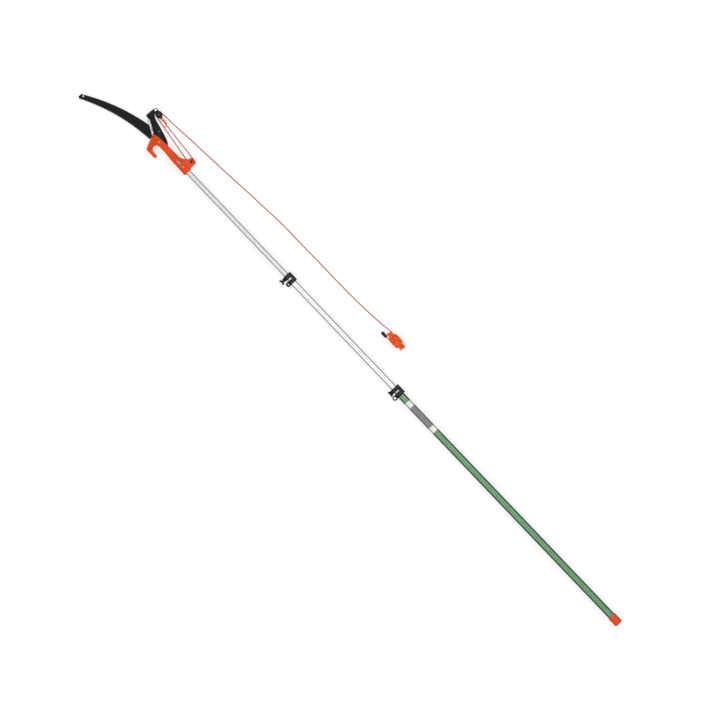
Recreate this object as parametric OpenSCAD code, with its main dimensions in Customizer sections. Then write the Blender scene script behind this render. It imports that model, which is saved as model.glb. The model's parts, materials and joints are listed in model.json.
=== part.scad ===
// Tree pruner pole: a three-section telescopic pole with a cord-drawn bypass cutter and a curved saw.
// It lies on its back. X runs from the butt to the head along the pole axis, +Y is the hook side, +Z is up.
// The origin is the centre of the butt cap's end face. The head's own places count from its sleeve mouth.

/* [Pole] */
// Length of the outer tube
outer_len = 1199; // [800:1:1400]
// Outside diameter of the outer tube
outer_d = 28; // [26:0.5:34]
// Wall of every tube
tube_wall = 1.2; // [0.8:0.1:1.6]
// Radial gap between one tube and the next
tube_gap = 0.8; // [0.5:0.1:1.2]
// Length of the middle tube
middle_len = 1150; // [750:1:1180]
// How far the middle tube stands out of the outer tube
middle_out = 584; // [200:1:900]
// Length of the inner tube
inner_len = 1150; // [750:1:1180]
// How far the inner tube stands out of the middle tube, socket included
inner_out = 623; // [200:1:950]
// Length of the guide bush on the hidden end of a tube
bush_len = 25; // [15:1:40]
// Thickness of the flange that closes a guide bush against its tube's end
bush_flange = 3; // [2:0.5:5]

/* [End cap and label] */
// Thickness of the cap over the tube's end
cap_floor = 4; // [3:0.5:8]
// Wall of the cap round the tube
cap_wall = 2.5; // [1.5:0.5:4]
// How far the cap reaches up the tube
cap_depth = 23; // [15:1:40]
// Radius of the cap's rounded butt edge
cap_round = 5; // [2:0.5:6]
// Length of the plain film round the outer tube
label_len = 152; // [80:1:200]
// Distance from the film to the upper end of the outer tube
label_from_end = 54; // [45:1:120]
// Thickness of the film
label_film = 0.15; // [0.1:0.05:0.3]
// Thickness of the glue under the film
label_glue = 0.03; // [0.02:0.01:0.1]

/* [Clamps] */
// Wall of a clamp collar over the larger tube
collar_wall = 4; // [3:0.5:6]
// Length of each of the collar's two bands
band_len = 16.5; // [16:0.5:24]
// Width of the slit between the bands
band_slit = 6.5; // [2:0.5:7]
// Width of the spine that joins the bands
spine_w = 12; // [8:1:14]
// How far the spine stands proud of the bands
spine_proud = 3; // [1:0.5:3.5]
// Turn of the spine towards the top, in degrees
spine_tilt = 30; // [0:1:45]
// Radius of the wing screw's thread
wing_screw_r = 3; // [2.5:0.5:4]
// Outside radius of the screw's boss
wing_boss_r = 7; // [6:0.5:8]
// Distance from the pole axis to the boss's face
wing_boss_reach = 24; // [22:0.5:30]
// Length of the wing screw's hub outside the boss
wing_hub_len = 8; // [6:0.5:12]
// Span of the wings from tip to tip
wing_span = 23; // [18:1:26]
// Thickness of a wing along the screw
wing_t = 5; // [4:0.5:7]
// Tilt of the lower clamp's wing screw towards the top, in degrees
lower_screw_tilt = 35; // [0:1:60]
// Tilt of the upper clamp's wing screw towards the top, in degrees
upper_screw_tilt = 0; // [0:1:60]
// Distance from the pole axis to the middle of the cord eye
eye_reach = 24.5; // [23:0.5:30]
// Radius of the cord eye's hole
eye_r = 4.7; // [3:0.1:5.5]
// Width of the ring round the cord eye
eye_ring = 4.8; // [3:0.1:6]
// Thickness of the cord eye
eye_t = 6; // [4:0.5:8]
// Tilt of the lower clamp's cord eye towards the top, in degrees
lower_eye_tilt = 0; // [0:1:60]
// Tilt of the upper clamp's cord eye towards the top, in degrees
upper_eye_tilt = 40; // [0:1:60]
// Radius of the screw that pins a collar to its tube
fixing_screw_r = 2; // [1.5:0.25:2.5]

/* [Head casting] */
// Depth of the socket that takes the inner tube
socket_depth = 70; // [60:1:85]
// Wall of the socket's sleeve
sleeve_wall = 5; // [4:0.5:7]
// Length of the head from the sleeve's mouth to its front corner
head_len = 195; // [190:1:205]
// Distance from the pole axis to the bar's edge on the cord side, at the sleeve
bar_cord_edge = 15; // [14.5:0.5:17]
// Distance from the pole axis to the bar's edge on the hook side, under the hook
bar_hook_edge = 12.5; // [12:0.5:14]
// Distance from the pole axis to the casting's edge on the hook side, at the sleeve's mouth
mouth_edge = 18; // [17:0.5:21]
// Distance from the pole axis to the bar's edge on the cord side, at its front corner
nose_edge = 6; // [5:0.5:8]
// Thickness of the front cheek, which carries the hook
front_cheek_t = 5.7; // [4:0.1:8]
// Thickness of the rear cheek
rear_cheek_t = 7.7; // [6:0.1:9]
// Width of the hook's opening
hook_gap = 28; // [24:0.5:32]
// Width of the hook's arm
hook_arm = 15; // [10:0.5:18]
// Distance from the cutter's pivot back to the middle of the hook's bend
hook_back = 12.5; // [11:0.5:14]
// Length of the hook's nose past the middle of its bend
hook_nose = 22.5; // [18:0.5:24]
// Length of the window over the tube
window_len = 21; // [14:0.5:26]
// Width of the window
window_w = 8; // [5:0.5:10]
// Distance from the sleeve's mouth to the middle of the window
window_x = 49; // [44:0.5:50]
// Distance from the sleeve's mouth to the cross bolt
head_bolt_x = 25; // [18:0.5:28]
// Radius of the cross bolt
head_bolt_r = 2.5; // [2:0.25:3]
// Distance from the pole axis to the flats under the cross bolt's head and nut
head_flat = 12.5; // [12:0.25:13.5]

/* [Cutter] */
// Distance from the sleeve's mouth to the cutter's pivot
pivot_x = 156; // [152:0.5:160]
// Distance of the pivot from the pole axis, towards the hook
pivot_y = 2; // [0:0.5:3]
// Radius of the pivot bolt
pivot_r = 3; // [2.5:0.25:4]
// Wall of the bush between the pivot bolt and the cutter
pivot_bush_wall = 2; // [1.5:0.25:2.5]
// Radius of the cutter's hub
hub_r = 12; // [11:0.5:12.5]
// Thickness of the lever
lever_t = 4; // [3:0.5:5]
// Thickness of the cutting blade
blade_t = 2.5; // [2:0.5:3.5]
// Length of the cutting blade from the pivot to its tip
blade_len = 45; // [42:0.5:46]
// Radius of the rivet that holds the blade to the lever
rivet_r = 2.5; // [2:0.25:3]

/* [Pulleys and tackle] */
// Pitch radius of both pulleys
pulley_pitch_r = 11.2; // [10:0.1:12]
// Depth of the pulley's rim outside the pitch circle
pulley_rim = 2.2; // [2:0.1:2.6]
// Thickness of a pulley
pulley_t = 6; // [5.6:0.2:8]
// Radius of the pulley pins
pulley_pin_r = 3; // [2.5:0.25:3.5]
// Distance from the sleeve's mouth to the lower pulley
lower_pulley_x = 20; // [18.5:0.5:22]
// Distance of the lower pulley from the pole axis
lower_pulley_y = 36; // [35:0.5:38]
// Thickness of each ear beside the lower pulley
ear_t = 4.2; // [3:0.1:6]
// Distance along the head from the pivot to the block's pin
block_pin_x = 97.5; // [96:0.5:100]
// Distance across the head from the pivot to the block's pin
block_pin_y = 75; // [74:0.5:77]
// Distance from the block's pin to its pulley
block_len = 21.5; // [21.5:0.5:24]
// Thickness of the block's side plates
block_plate_t = 1.6; // [1.2:0.1:2.5]
// Distance from the pulley to the block's end strap
strap_reach = 17; // [16.5:0.5:20]

/* [Return spring] */
// Outside radius of the spring's coil
spring_r = 5; // [4:0.25:6]
// Diameter of the spring's wire
spring_wire = 1.4; // [1:0.1:1.6]
// Number of curls in the spring
spring_curls = 20; // [14:1:24]
// Radius of the posts that the spring hooks on
spring_post_r = 1.75; // [1.5:0.25:2]
// Height of the spring above the front cheek
spring_lift = 6.5; // [6.5:0.25:8]

/* [Saw] */
// Thickness of the saw blade
saw_t = 1.6; // [1.2:0.1:2]
// Reach of the saw's tip past the sleeve's mouth
saw_reach = 490; // [440:1:540]
// Number of teeth
saw_teeth = 56; // [40:1:64]
// Height of a tooth
tooth_h = 3.5; // [2.5:0.25:4.5]
// Sag of the blade's curve
saw_sag = 16; // [12:0.5:20]
// Radius of the hanging hole at the tip
saw_hole_r = 3; // [2:0.25:4]
// Radius of the saw's screws
saw_screw_r = 2.5; // [2:0.25:3]

/* [Cord] */
// Diameter of the cord
cord_d = 4; // [3:0.25:4]
// Half height of the hank's loops, which stand on edge
hank_r = 8.5; // [8:0.25:9.5]
// Half length of the hank's runs
hank_run = 31; // [29:0.5:34]
// Sideways step from one loop to the next
hank_step = 4.5; // [4.45:0.05:4.8]
// Number of turns of cord bound round the hank
tie_turns = 9; // [6:1:9]
// Space between the turns of the binding
tie_space = 0.7; // [0.5:0.05:1]
// Radius of the pull grip
grip_r = 6.5; // [5.5:0.25:8]
// Length of the pull grip
grip_len = 26; // [20:1:40]

/* [Fits] */
// Radial clearance of a shaft that runs in a bore
run_fit = 0.05; // [0.02:0.01:0.1]
// Side clearance between plates that move past each other
side_gap = 0.3; // [0.2:0.05:0.5]

/* [Hidden] */
$fn = 64;

// Tubes, from the outside in, and where their upper ends lie
outer_r = outer_d / 2;
middle_r = outer_r - tube_wall - tube_gap;
inner_r = middle_r - tube_wall - tube_gap;
outer_end = cap_floor + outer_len;
middle_end = outer_end + middle_out;
inner_end = middle_end + inner_out;
head_x = inner_end - socket_depth;
lower_clamp_x = outer_end - band_len - band_slit / 2;
upper_clamp_x = middle_end - band_len - band_slit / 2;
collar_len = 2 * band_len + band_slit;

// Heights in the head, measured from the pole axis
slot_low = -lever_t / 2 - side_gap;
slot_high = lever_t / 2 + blade_t + side_gap;
front_z = slot_high + front_cheek_t;
rear_z = slot_low - rear_cheek_t;
saw_back = rear_z - saw_t;
pivot_nut_h = 6.4;
floor_z = saw_back - pivot_nut_h;

// Places in the head, measured from the sleeve's mouth
sleeve_r = inner_r + sleeve_wall;
sleeve_len = socket_depth + 8;
pivot = [pivot_x, pivot_y];
bend = [pivot_x - hook_back, bar_hook_edge + hook_gap / 2];
hook_top = bend.y + hook_gap / 2 + hook_arm;
slot_end = pivot_x - blade_len - 2;
lower_axle = [lower_pulley_x, -lower_pulley_y];
block_pin_at = pivot + [block_pin_x, -block_pin_y];
rivet_at = pivot + [29, -28.5];
head_post = [head_len - 9, 1];
lever_post = pivot + [100, -37];

// The tackle's line, from the block's pin to the lower pulley
tackle_dir = (lower_axle - block_pin_at) / norm(lower_axle - block_pin_at);
tackle_turn = atan2(tackle_dir.y, tackle_dir.x);
upper_axle = block_pin_at + block_len * tackle_dir;
pulley_r = pulley_pitch_r + pulley_rim;
groove_r = cord_d / 2 + 0.4;
plate_in = pulley_t / 2 + side_gap;
plate_out = plate_in + block_plate_t;
strap_at = block_len + strap_reach;
strap_t = 3;
knot_r = 4.5;
knot_at = block_pin_at + (strap_at + strap_t + knot_r) * tackle_dir;

// Hank on the floor, counted in half turns and held by its tie, with the pull grip beside its end
cord_r = cord_d / 2;
cord_part = side_gap;
hank_first = 1;
hank_last = 10;
hank_mid = (hank_first + hank_last) / 2;
hank_wide = hank_step * (hank_last - hank_first + 0.6) / 4;
tie_bend = 2 * cord_d;
tie_off = cord_d + side_gap + (tie_bend - cord_d - side_gap) * (1 - sqrt(0.5));
hank_at = [-995, -127, floor_z + cord_r + tie_off + hank_r];
grip_at = [
  hank_at.x + hank_run + 3, hank_at.y + hank_side(hank_last - 1.3) + cord_r + side_gap + grip_r,
  floor_z + grip_r
];

// Free cord's course on the floor, from the end of the lead to the hank
cord_low = floor_z + cord_r;
lead_points = [
  [200, -83, -1], [160, -85, -4], [120, -88, -9], [80, -91, -13.5], [40, -93.5, cord_low],
  [0, -96, cord_low], [-40, -98.5, cord_low], [-90, -101.5, cord_low], [cord_part - 130, -104, cord_low]
];
cord_points = [
  [-130, -104, cord_low], [-180, -108, cord_low], [-220, -111, cord_low], [-260, -113, cord_low],
  [-300, -115.5, cord_low], [-340, -118.5, cord_low], [-380, -120.5, cord_low], [-420, -121, cord_low],
  [-500, -121, cord_low], [-600, -122, cord_low], [-700, -122, cord_low], [-790, -124, cord_low],
  [-840, -126.5, cord_low], [-868, -128.3, cord_low + 2.3], [-892, -130.2, cord_low + 7.3],
  [-916, -132.5, cord_low + 13.6], [-938, -135, cord_low + 18.8]
];

// Points along a route

// Catmull-Rom point between p1 and p2
function spline_at(p0, p1, p2, p3, t) =
  0.5 * (2 * p1 + (p2 - p0) * t + (2 * p0 - 5 * p1 + 4 * p2 - p3) * t * t
    + (3 * p1 - p0 - 3 * p2 + p3) * t * t * t);

// Smooth route through hand-set points, with a ring about every step
function smooth_route(pts, step) = [
  for (i = [0 : len(pts) - 2])
    let (n = max(1, round(norm(pts[i + 1] - pts[i]) / step)))
    for (k = [0 : n - 1])
      spline_at(pts[max(i - 1, 0)], pts[i], pts[i + 1], pts[min(i + 2, len(pts) - 1)], k / n),
  pts[len(pts) - 1]
];

// Points on an arc about c in the plane of height z, from angle a to angle b
function arc_route(c, r, a, b, n, z) =
  [for (i = [0 : n]) let (t = a + (b - a) * i / n) [c.x + r * cos(t), c.y + r * sin(t), z]];

function unit(v) = v / norm(v);

// Direction of a route at ring i
function heading(p, i) = unit(p[min(i + 1, len(p) - 1)] - p[max(i - 1, 0)]);

// A ring's side direction, carried along the route without twist
function carried(side, t) = unit(side - (side * t) * t);

// Any direction square to t
function square_to(t) = unit(cross(t, abs(t.z) < 0.9 ? [0, 0, 1] : [1, 0, 0]));

// Distance from a point to the piece of route between a and b
function off_piece(p, a, b) =
  let (v = b - a, t = min(1, max(0, (p - a) * v / (v * v)))) norm(p - a - t * v);

// Smallest distance between parts of one route that lie apart along it, less the tube's diameter
function self_gap(p, d, skip) =
  min([
    for (i = [0 : len(p) - 2 - skip]) for (j = [i + skip : len(p) - 2])
      off_piece(p[i], p[j], p[j + 1])
  ]) - d;

// Round tube of diameter d along a route
module tube(route, d, sides) {
  last = len(route) - 1;
  normals = [
    for (i = 0, s = square_to(heading(route, 0)); i <= last;
      i = i + 1, s = carried(s, heading(route, min(i, last)))) s
  ];
  points = [
    for (i = [0 : last])
      let (n = normals[i], b = cross(heading(route, i), n))
      for (k = [0 : sides - 1])
        let (a = 360 * k / sides)
        route[i] + d / 2 * (cos(a) * n + sin(a) * b)
  ];
  walls = [
    for (i = [0 : last - 1]) for (k = [0 : sides - 1])
      let (a = i * sides + k, b = i * sides + (k + 1) % sides)
      for (face = [[a, a + sides, b], [b, a + sides, b + sides]]) face
  ];
  ends = [
    for (k = [1 : sides - 2])
      for (face = [[0, k, k + 1], [last * sides, last * sides + k + 1, last * sides + k]]) face
  ];
  polyhedron(points = points, faces = concat(walls, ends));
}

// Placing helpers

// Axis of a shape along X instead of Z
module along_x() {
  rotate([90, 0, 90]) children();
}

// Everything on the head is drawn from the sleeve's mouth
module on_head() {
  translate([head_x, 0, 0]) children();
}

// Tube along X between two places
module pipe(x0, x1, ro, ri) {
  translate([x0, 0, 0]) along_x() difference() {
    cylinder(h = x1 - x0, r = ro);
    translate([0, 0, -1]) cylinder(h = x1 - x0 + 2, r = ri);
  }
}

// Bar with round ends between two places in the plane
module link(p, q, rp, rq) {
  translate(p) circle(r = rp);
  translate(q) circle(r = rq);
  side = [-(q - p).y, (q - p).x] / norm(q - p);
  polygon([p + rp * side, q + rq * side, q - rq * side, p - rp * side]);
}

// Plate cut from an outline, between two heights
module plate(z0, z1) {
  translate([0, 0, z0]) linear_extrude(z1 - z0) children();
}

// Upright hole or shaft through a place
module shaft(p, r, z0, z1) {
  translate([p.x, p.y, z0]) cylinder(h = z1 - z0, r = r);
}

// Pole

module outer_tube() {
  color("#3f7d4f") difference() {
    pipe(cap_floor, outer_end, outer_r, outer_r - tube_wall);
    collar_pin_hole(lower_clamp_x, outer_r);
  }
}

module end_cap() {
  r = outer_r + cap_wall;
  color("#f0551a") along_x() rotate_extrude() {
    difference() {
      union() {
        square([r - cap_round, cap_floor + cap_depth]);
        translate([0, cap_round]) square([r, cap_floor + cap_depth - cap_round]);
        translate([r - cap_round, cap_round]) circle(r = cap_round);
      }
      translate([0, cap_floor]) square([outer_r, cap_depth + 1]);
      translate([-r, -1]) square([r, cap_floor + cap_depth + 2]);
    }
  }
}

module label_sleeve() {
  x1 = outer_end - label_from_end;
  in_r = outer_r + label_glue;
  color("#e9efe4") pipe(x1 - label_len, x1, in_r + label_film, in_r);
}

module middle_tube() {
  color("#e6e8ea") difference() {
    pipe(middle_end - middle_len, middle_end, middle_r, middle_r - tube_wall);
    collar_pin_hole(upper_clamp_x, middle_r);
  }
}

module guide_bush(x, tube_r) {
  slide_r = tube_r + tube_gap - run_fit;
  color("#d8d4c8") {
    pipe(x, x + bush_len, slide_r, tube_r);
    pipe(x - bush_flange, x, slide_r, tube_r - tube_wall);
  }
}

module middle_guide_bush() {
  guide_bush(middle_end - middle_len, middle_r);
}

module inner_tube() {
  color("#eceef0") difference() {
    pipe(inner_end - inner_len, inner_end, inner_r, inner_r - tube_wall);
    on_head() shaft([head_bolt_x, 0], head_bolt_r, -outer_d, outer_d);
  }
}

module inner_guide_bush() {
  guide_bush(inner_end - inner_len, inner_r);
}

// Clamps: a collar pinned to the larger tube, with a wing screw that grips the smaller one

module collar_pin_hole(x, tube_r) {
  translate([x + band_len / 2, 0, -tube_r - collar_wall - 1])
    cylinder(h = collar_wall + tube_wall + 2, r = fixing_screw_r);
}

module tilted(x, angle) {
  translate([x, 0, 0]) rotate([angle, 0, 0]) children();
}

// Shape along the local Y axis, from distance y0 to y1
module radial(y0, y1, r) {
  translate([0, y0, 0]) rotate([-90, 0, 0]) cylinder(h = y1 - y0, r = r);
}

module collar_eye(collar_r) {
  ring_r = eye_r + eye_ring;
  translate([0, 0, -eye_t / 2]) linear_extrude(eye_t) {
    translate([0, eye_reach]) circle(r = ring_r);
    translate([-ring_r * 0.6, collar_r - collar_wall / 2]) square([ring_r * 1.2, eye_reach - collar_r]);
  }
}

module clamp_collar(x, big_r, small_r, screw_tilt, eye_tilt) {
  collar_r = big_r + collar_wall;
  screw_x = x + band_len * 1.5 + band_slit;
  eye_x = x + band_len / 2;
  head_r = fixing_screw_r * 1.8;
  color("#1f1f20") difference() {
    union() {
      pipe(x, x + band_len, collar_r, big_r);
      pipe(x + band_len + band_slit, x + collar_len, collar_r, small_r + run_fit);
      intersection() {
        pipe(x, x + collar_len, collar_r + spine_proud, big_r);
        tilted(x - 1, -spine_tilt)
          translate([0, -2 * collar_r, -spine_w / 2]) cube([collar_len + 2, 2 * collar_r, spine_w]);
      }
      difference() {
        tilted(screw_x, screw_tilt) radial(big_r, wing_boss_reach, wing_boss_r);
        translate([x, 0, 0]) along_x() cylinder(h = collar_len, r = big_r);
      }
      tilted(eye_x, eye_tilt) collar_eye(collar_r);
    }
    tilted(screw_x, screw_tilt) radial(0, wing_boss_reach + 1, wing_screw_r + run_fit);
    tilted(eye_x, eye_tilt) translate([0, eye_reach, -eye_t]) cylinder(h = 2 * eye_t, r = eye_r);
    collar_pin_hole(x, big_r);
    translate([eye_x, 0, -collar_r - 1]) cylinder(h = 1 + collar_wall / 2, r = head_r);
  }
}

module clamp_fixing_screw(x, tube_r) {
  collar_r = tube_r + collar_wall;
  head_r = fixing_screw_r * 1.8;
  color("#b9bcc0") translate([x + band_len / 2, 0, 0]) {
    translate([0, 0, -collar_r + collar_wall / 2])
      cylinder(h = collar_wall / 2 + tube_wall, r = fixing_screw_r);
    difference() {
      translate([0, 0, -collar_r + 0.4]) cylinder(h = collar_wall / 2 - 0.4, r = head_r - side_gap);
      translate([-head_r, -0.5, -collar_r]) cube([2 * head_r, 1, 1.2]);
    }
  }
}

module clamp_wing_screw(x, small_r, screw_tilt) {
  screw_x = x + band_len * 1.5 + band_slit;
  hub_r = wing_screw_r + 2;
  hub_y = wing_boss_reach + side_gap;
  top_y = hub_y + wing_hub_len;
  lobe_r = wing_t / 2;
  color("#262627") tilted(screw_x, screw_tilt) {
    radial(small_r + side_gap, hub_y, wing_screw_r);
    radial(hub_y, top_y, hub_r);
    translate([0, 0, -wing_t / 2]) linear_extrude(wing_t) {
      for (s = [-1, 1]) {
        link([0, top_y - lobe_r], [s * (wing_span / 2 - lobe_r), top_y + lobe_r / 2], lobe_r, lobe_r);
      }
    }
  }
}

module lower_clamp_collar() {
  clamp_collar(lower_clamp_x, outer_r, middle_r, lower_screw_tilt, lower_eye_tilt);
}

module lower_clamp_fixing_screw() {
  clamp_fixing_screw(lower_clamp_x, outer_r);
}

module lower_clamp_wing_screw() {
  clamp_wing_screw(lower_clamp_x, middle_r, lower_screw_tilt);
}

module upper_clamp_collar() {
  clamp_collar(upper_clamp_x, middle_r, inner_r, upper_screw_tilt, upper_eye_tilt);
}

module upper_clamp_fixing_screw() {
  clamp_fixing_screw(upper_clamp_x, middle_r);
}

module upper_clamp_wing_screw() {
  clamp_wing_screw(upper_clamp_x, inner_r, upper_screw_tilt);
}

// Head casting: a sleeve, a forked bar with the fixed hook on its front cheek, and the lower pulley's ears

module bar_outline() {
  polygon([
    [2, -bar_cord_edge + 1], [sleeve_len, -bar_cord_edge - 0.5], [slot_end + 10, -bar_cord_edge + 0.5],
    [pivot.x, -bar_cord_edge + 3], [head_len - 5, -nose_edge - 0.5], [head_len - 1, -nose_edge + 1],
    [head_len, -nose_edge + 3], [head_len - 3, nose_edge], [head_len - 14, bar_hook_edge],
    [slot_end, bar_hook_edge], [sleeve_len, (bar_hook_edge + mouth_edge) / 2 + 0.5], [2, mouth_edge]
  ]);
}

module hook_outline() {
  nose_r = 6.5;
  corner_r = 9;
  nose = [bend.x - hook_nose + nose_r, hook_top - nose_r];
  corner = [bend.x + hook_gap / 2 + hook_arm + 0.5 - corner_r, hook_top - corner_r];
  difference() {
    union() {
      translate(nose) circle(r = nose_r);
      translate(corner) circle(r = corner_r);
      polygon([
        [slot_end - 5, -bar_cord_edge + 0.5], [pivot.x, -bar_cord_edge + 3],
        [head_len - 5, -nose_edge - 0.5], [head_len - 1, -nose_edge + 1], [head_len, -nose_edge + 3],
        corner + corner_r * [cos(20), sin(20)], corner + [0, corner_r], nose + [0, nose_r],
        nose + nose_r * [cos(250), sin(250)], [bend.x - 6, hook_top - hook_arm],
        [bend.x, hook_top - hook_arm], [bend.x, bar_hook_edge], [slot_end - 5, bar_hook_edge + 0.3]
      ]);
    }
    translate(bend) circle(r = hook_gap / 2);
    translate([corner.x - 3, corner.y - 5]) circle(r = 2);
  }
}

module ear_outline() {
  p = lower_axle;
  round_r = 12.3;
  low = p + [-3.5, -1.5];
  translate(low) circle(r = round_r);
  polygon([
    [low.x - round_r, -bar_cord_edge / 2], low + [-round_r, 0], low, low + round_r * [cos(-25), sin(-25)],
    p + [13, -1], p + [22, 9], p + [31, 15.5], p + [44, 20.5], [p.x + 50, -bar_cord_edge / 2]
  ]);
}

module head_casting() {
  ear_z = plate_in + ear_t;
  boss_r = hub_r - 1;
  window_half = (window_len - window_w) / 2;
  color("#f0551a") on_head() difference() {
    union() {
      along_x() cylinder(h = sleeve_len, r = sleeve_r);
      plate(rear_z, slot_low) bar_outline();
      intersection() {
        plate(rear_z, front_z) bar_outline();
        translate([0, -head_len, rear_z]) cube([slot_end, 2 * head_len, front_z - rear_z]);
      }
      plate(slot_high, front_z) hook_outline();
      plate(-ear_z, ear_z) ear_outline();
      shaft(pivot, boss_r, front_z - 1, front_z + 1);
    }
    translate([-1, 0, 0]) along_x() cylinder(h = socket_depth + 1, r = inner_r);
    plate(0, 2 * sleeve_r) translate([window_x, 0])
      link([-window_half, 0], [window_half, 0], window_w / 2, window_w / 2);
    shaft([head_bolt_x, 0], head_bolt_r, -outer_d, outer_d);
    shaft([head_bolt_x, 0], head_bolt_r * 2.3, head_flat, outer_d);
    shaft([head_bolt_x, 0], head_bolt_r * 2.3, -outer_d, -head_flat);
    shaft(pivot, pivot_r, rear_z - 1, front_z + 2);
    shaft(head_post, spring_post_r, front_z - front_cheek_t, front_z + 1);
    for (p = saw_screw_places()) shaft(p, saw_screw_r, rear_z - 1, slot_low - 1.5);
    shaft(lower_axle, pulley_pin_r, -ear_z - 1, ear_z + 1);
    plate(-plate_in, plate_in) {
      translate(lower_axle) circle(r = pulley_r + 0.6);
      translate(lower_axle + [0, -2 * pulley_r]) square([4 * pulley_r, 3 * pulley_r + 0.6]);
    }
  }
}

module head_bolt() {
  color("#c2c5c9") on_head() {
    shaft([head_bolt_x, 0], head_bolt_r, -head_flat - 5, head_flat);
    difference() {
      shaft([head_bolt_x, 0], head_bolt_r * 1.8, head_flat, head_flat + 4);
      translate([head_bolt_x, 0, head_flat + 2]) cylinder(h = 3, r = head_bolt_r * 0.9, $fn = 6);
    }
  }
}

module hex_nut(p, z0, z1, bolt_r) {
  difference() {
    translate([p.x, p.y, z0]) cylinder(h = z1 - z0, r = bolt_r * 1.85, $fn = 6);
    shaft(p, bolt_r, z0 - 1, z1 + 1);
  }
}

module head_nut() {
  color("#c2c5c9") on_head() hex_nut([head_bolt_x, 0], -head_flat - 5, -head_flat, head_bolt_r);
}

// Saw: a curved blade with raked teeth on its hollow edge, screwed to the back of the head

saw_root = [head_len - 3, 18];
saw_point = [saw_reach - 6, 104];
saw_heel = [head_len + 5, -22];
saw_tip = [saw_reach + 1, 88];
saw_hole = [saw_reach - 11, 88];

function saw_screw_places() = [[pivot_x - 30, 0], [pivot_x + 20, 1]];

// Point on a sagging line from p to q
function bowed(p, q, sag, t) =
  let (d = unit(q - p)) p + (q - p) * t + 4 * t * (1 - t) * sag * [d.y, -d.x];

module saw_outline() {
  edge = [
    for (i = [0 : saw_teeth - 1])
      let (t = i / saw_teeth, out = unit([saw_root.y - saw_point.y, saw_point.x - saw_root.x]))
      for (p = [bowed(saw_root, saw_point, saw_sag, t),
        bowed(saw_root, saw_point, saw_sag, t + 0.2 / saw_teeth) + tooth_h * out]) p
  ];
  back = [for (i = [16 : -1 : 0]) bowed(saw_heel, saw_tip, saw_sag, i / 16)];
  tang = [
    [head_len - 4, -nose_edge], [pivot.x, -bar_cord_edge + 4], [slot_end + 9, -bar_cord_edge + 3],
    [slot_end + 3, -8], [slot_end + 3, 6], [slot_end + 7, bar_hook_edge - 2],
    [head_len - 15, bar_hook_edge - 1]
  ];
  polygon(concat(edge, [saw_point, saw_point + [6, -1]], back, tang));
}

module saw_blade() {
  color("#222426") on_head() difference() {
    plate(saw_back, rear_z) saw_outline();
    shaft(saw_hole, saw_hole_r, saw_back - 1, rear_z + 1);
    shaft(pivot, pivot_r, saw_back - 1, rear_z + 1);
    for (p = saw_screw_places()) shaft(p, saw_screw_r, saw_back - 1, rear_z + 1);
  }
}

module saw_screws() {
  color("#b9bcc0") on_head() for (p = saw_screw_places()) {
    shaft(p, saw_screw_r, saw_back, slot_low - 1.5);
    difference() {
      shaft(p, saw_screw_r * 1.9, saw_back - 3, saw_back);
      translate([p.x, p.y, saw_back - 4]) cylinder(h = 2.5, r = saw_screw_r * 0.9, $fn = 6);
    }
  }
}

// Cutter: a lever with a riveted blade, turning on a bush round the pivot bolt

module pivot_bolt() {
  color("#c2c5c9") on_head() {
    shaft(pivot, pivot_r, floor_z, front_z + 1);
    translate([pivot.x, pivot.y, front_z + 1]) rotate_extrude() polygon([
      [0, 0], [pivot_r * 1.6, 0], [pivot_r * 1.6, 1.8], [pivot_r * 1.2, 3.2], [0, 3.8]
    ]);
  }
}

module pivot_nut() {
  color("#c2c5c9") on_head() hex_nut(pivot, floor_z, saw_back, pivot_r);
}

module pivot_bush() {
  color("#b08d4a") on_head() difference() {
    shaft(pivot, pivot_r + pivot_bush_wall, -lever_t / 2, lever_t / 2 + blade_t);
    shaft(pivot, pivot_r + run_fit, -lever_t, lever_t + blade_t);
  }
}

module lever_outline() {
  c = pivot;
  e = block_pin_at;
  s = lever_post;
  translate(c) circle(r = hub_r);
  translate(e) circle(r = 7.5);
  polygon([
    c + [-30, -16], c + [-28, -20], c + [-16, -27], c + [11.5, -35.4], c + [39, -42.8], c + [66.5, -49],
    c + [80, -54.6], c + [88.5, -63], e + [-7.3, 2], e + [0, -7], e + [7.5, -1], e + [9, 12],
    s + [7.5, -4], s + [8, 1.5], s + [5, 3.5], s + [-3, 4], c + [70, -25], c + [44, -8],
    c + [hub_r - 2, 5], c, c + [-hub_r + 1, -4]
  ]);
}

module lever() {
  color("#1c1c1d") on_head() difference() {
    plate(-lever_t / 2, lever_t / 2) lever_outline();
    shaft(pivot, pivot_r + pivot_bush_wall, -lever_t, lever_t);
    shaft(rivet_at, rivet_r, -lever_t, lever_t);
    shaft(block_pin_at, pulley_pin_r, -lever_t, lever_t);
    shaft(lever_post, spring_post_r, -lever_t, lever_t);
  }
}

module blade_outline() {
  tip = pivot + [-blade_len, 4];
  neck = pivot + [-4, hub_r - 1.5];
  big_r = hub_r - 1;
  small_r = rivet_r + 4.5;
  turn = atan2(rivet_at.y - pivot.y, rivet_at.x - pivot.x);
  lean = acos((big_r - small_r) / norm(rivet_at - pivot));
  polygon(concat(
    [for (i = [0 : 8]) bowed(tip, neck, -2.5, i / 8)],
    [for (p = arc_route(pivot, big_r, 104, turn + lean, 10, 0)) [p.x, p.y]],
    [for (p = arc_route(rivet_at, small_r, turn + lean, turn - lean, 20, 0)) [p.x, p.y]],
    [pivot + big_r * [cos(turn - lean), sin(turn - lean)]],
    [pivot + [-12, -10.5], pivot + [-30, -6.5], tip + [1, -2.5]]
  ));
}

module cutting_blade() {
  color("#3a3c3e") on_head() difference() {
    plate(lever_t / 2, lever_t / 2 + blade_t) blade_outline();
    shaft(pivot, pivot_r + pivot_bush_wall, 0, lever_t + blade_t);
    shaft(rivet_at, rivet_r, 0, lever_t + blade_t);
  }
}

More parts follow.
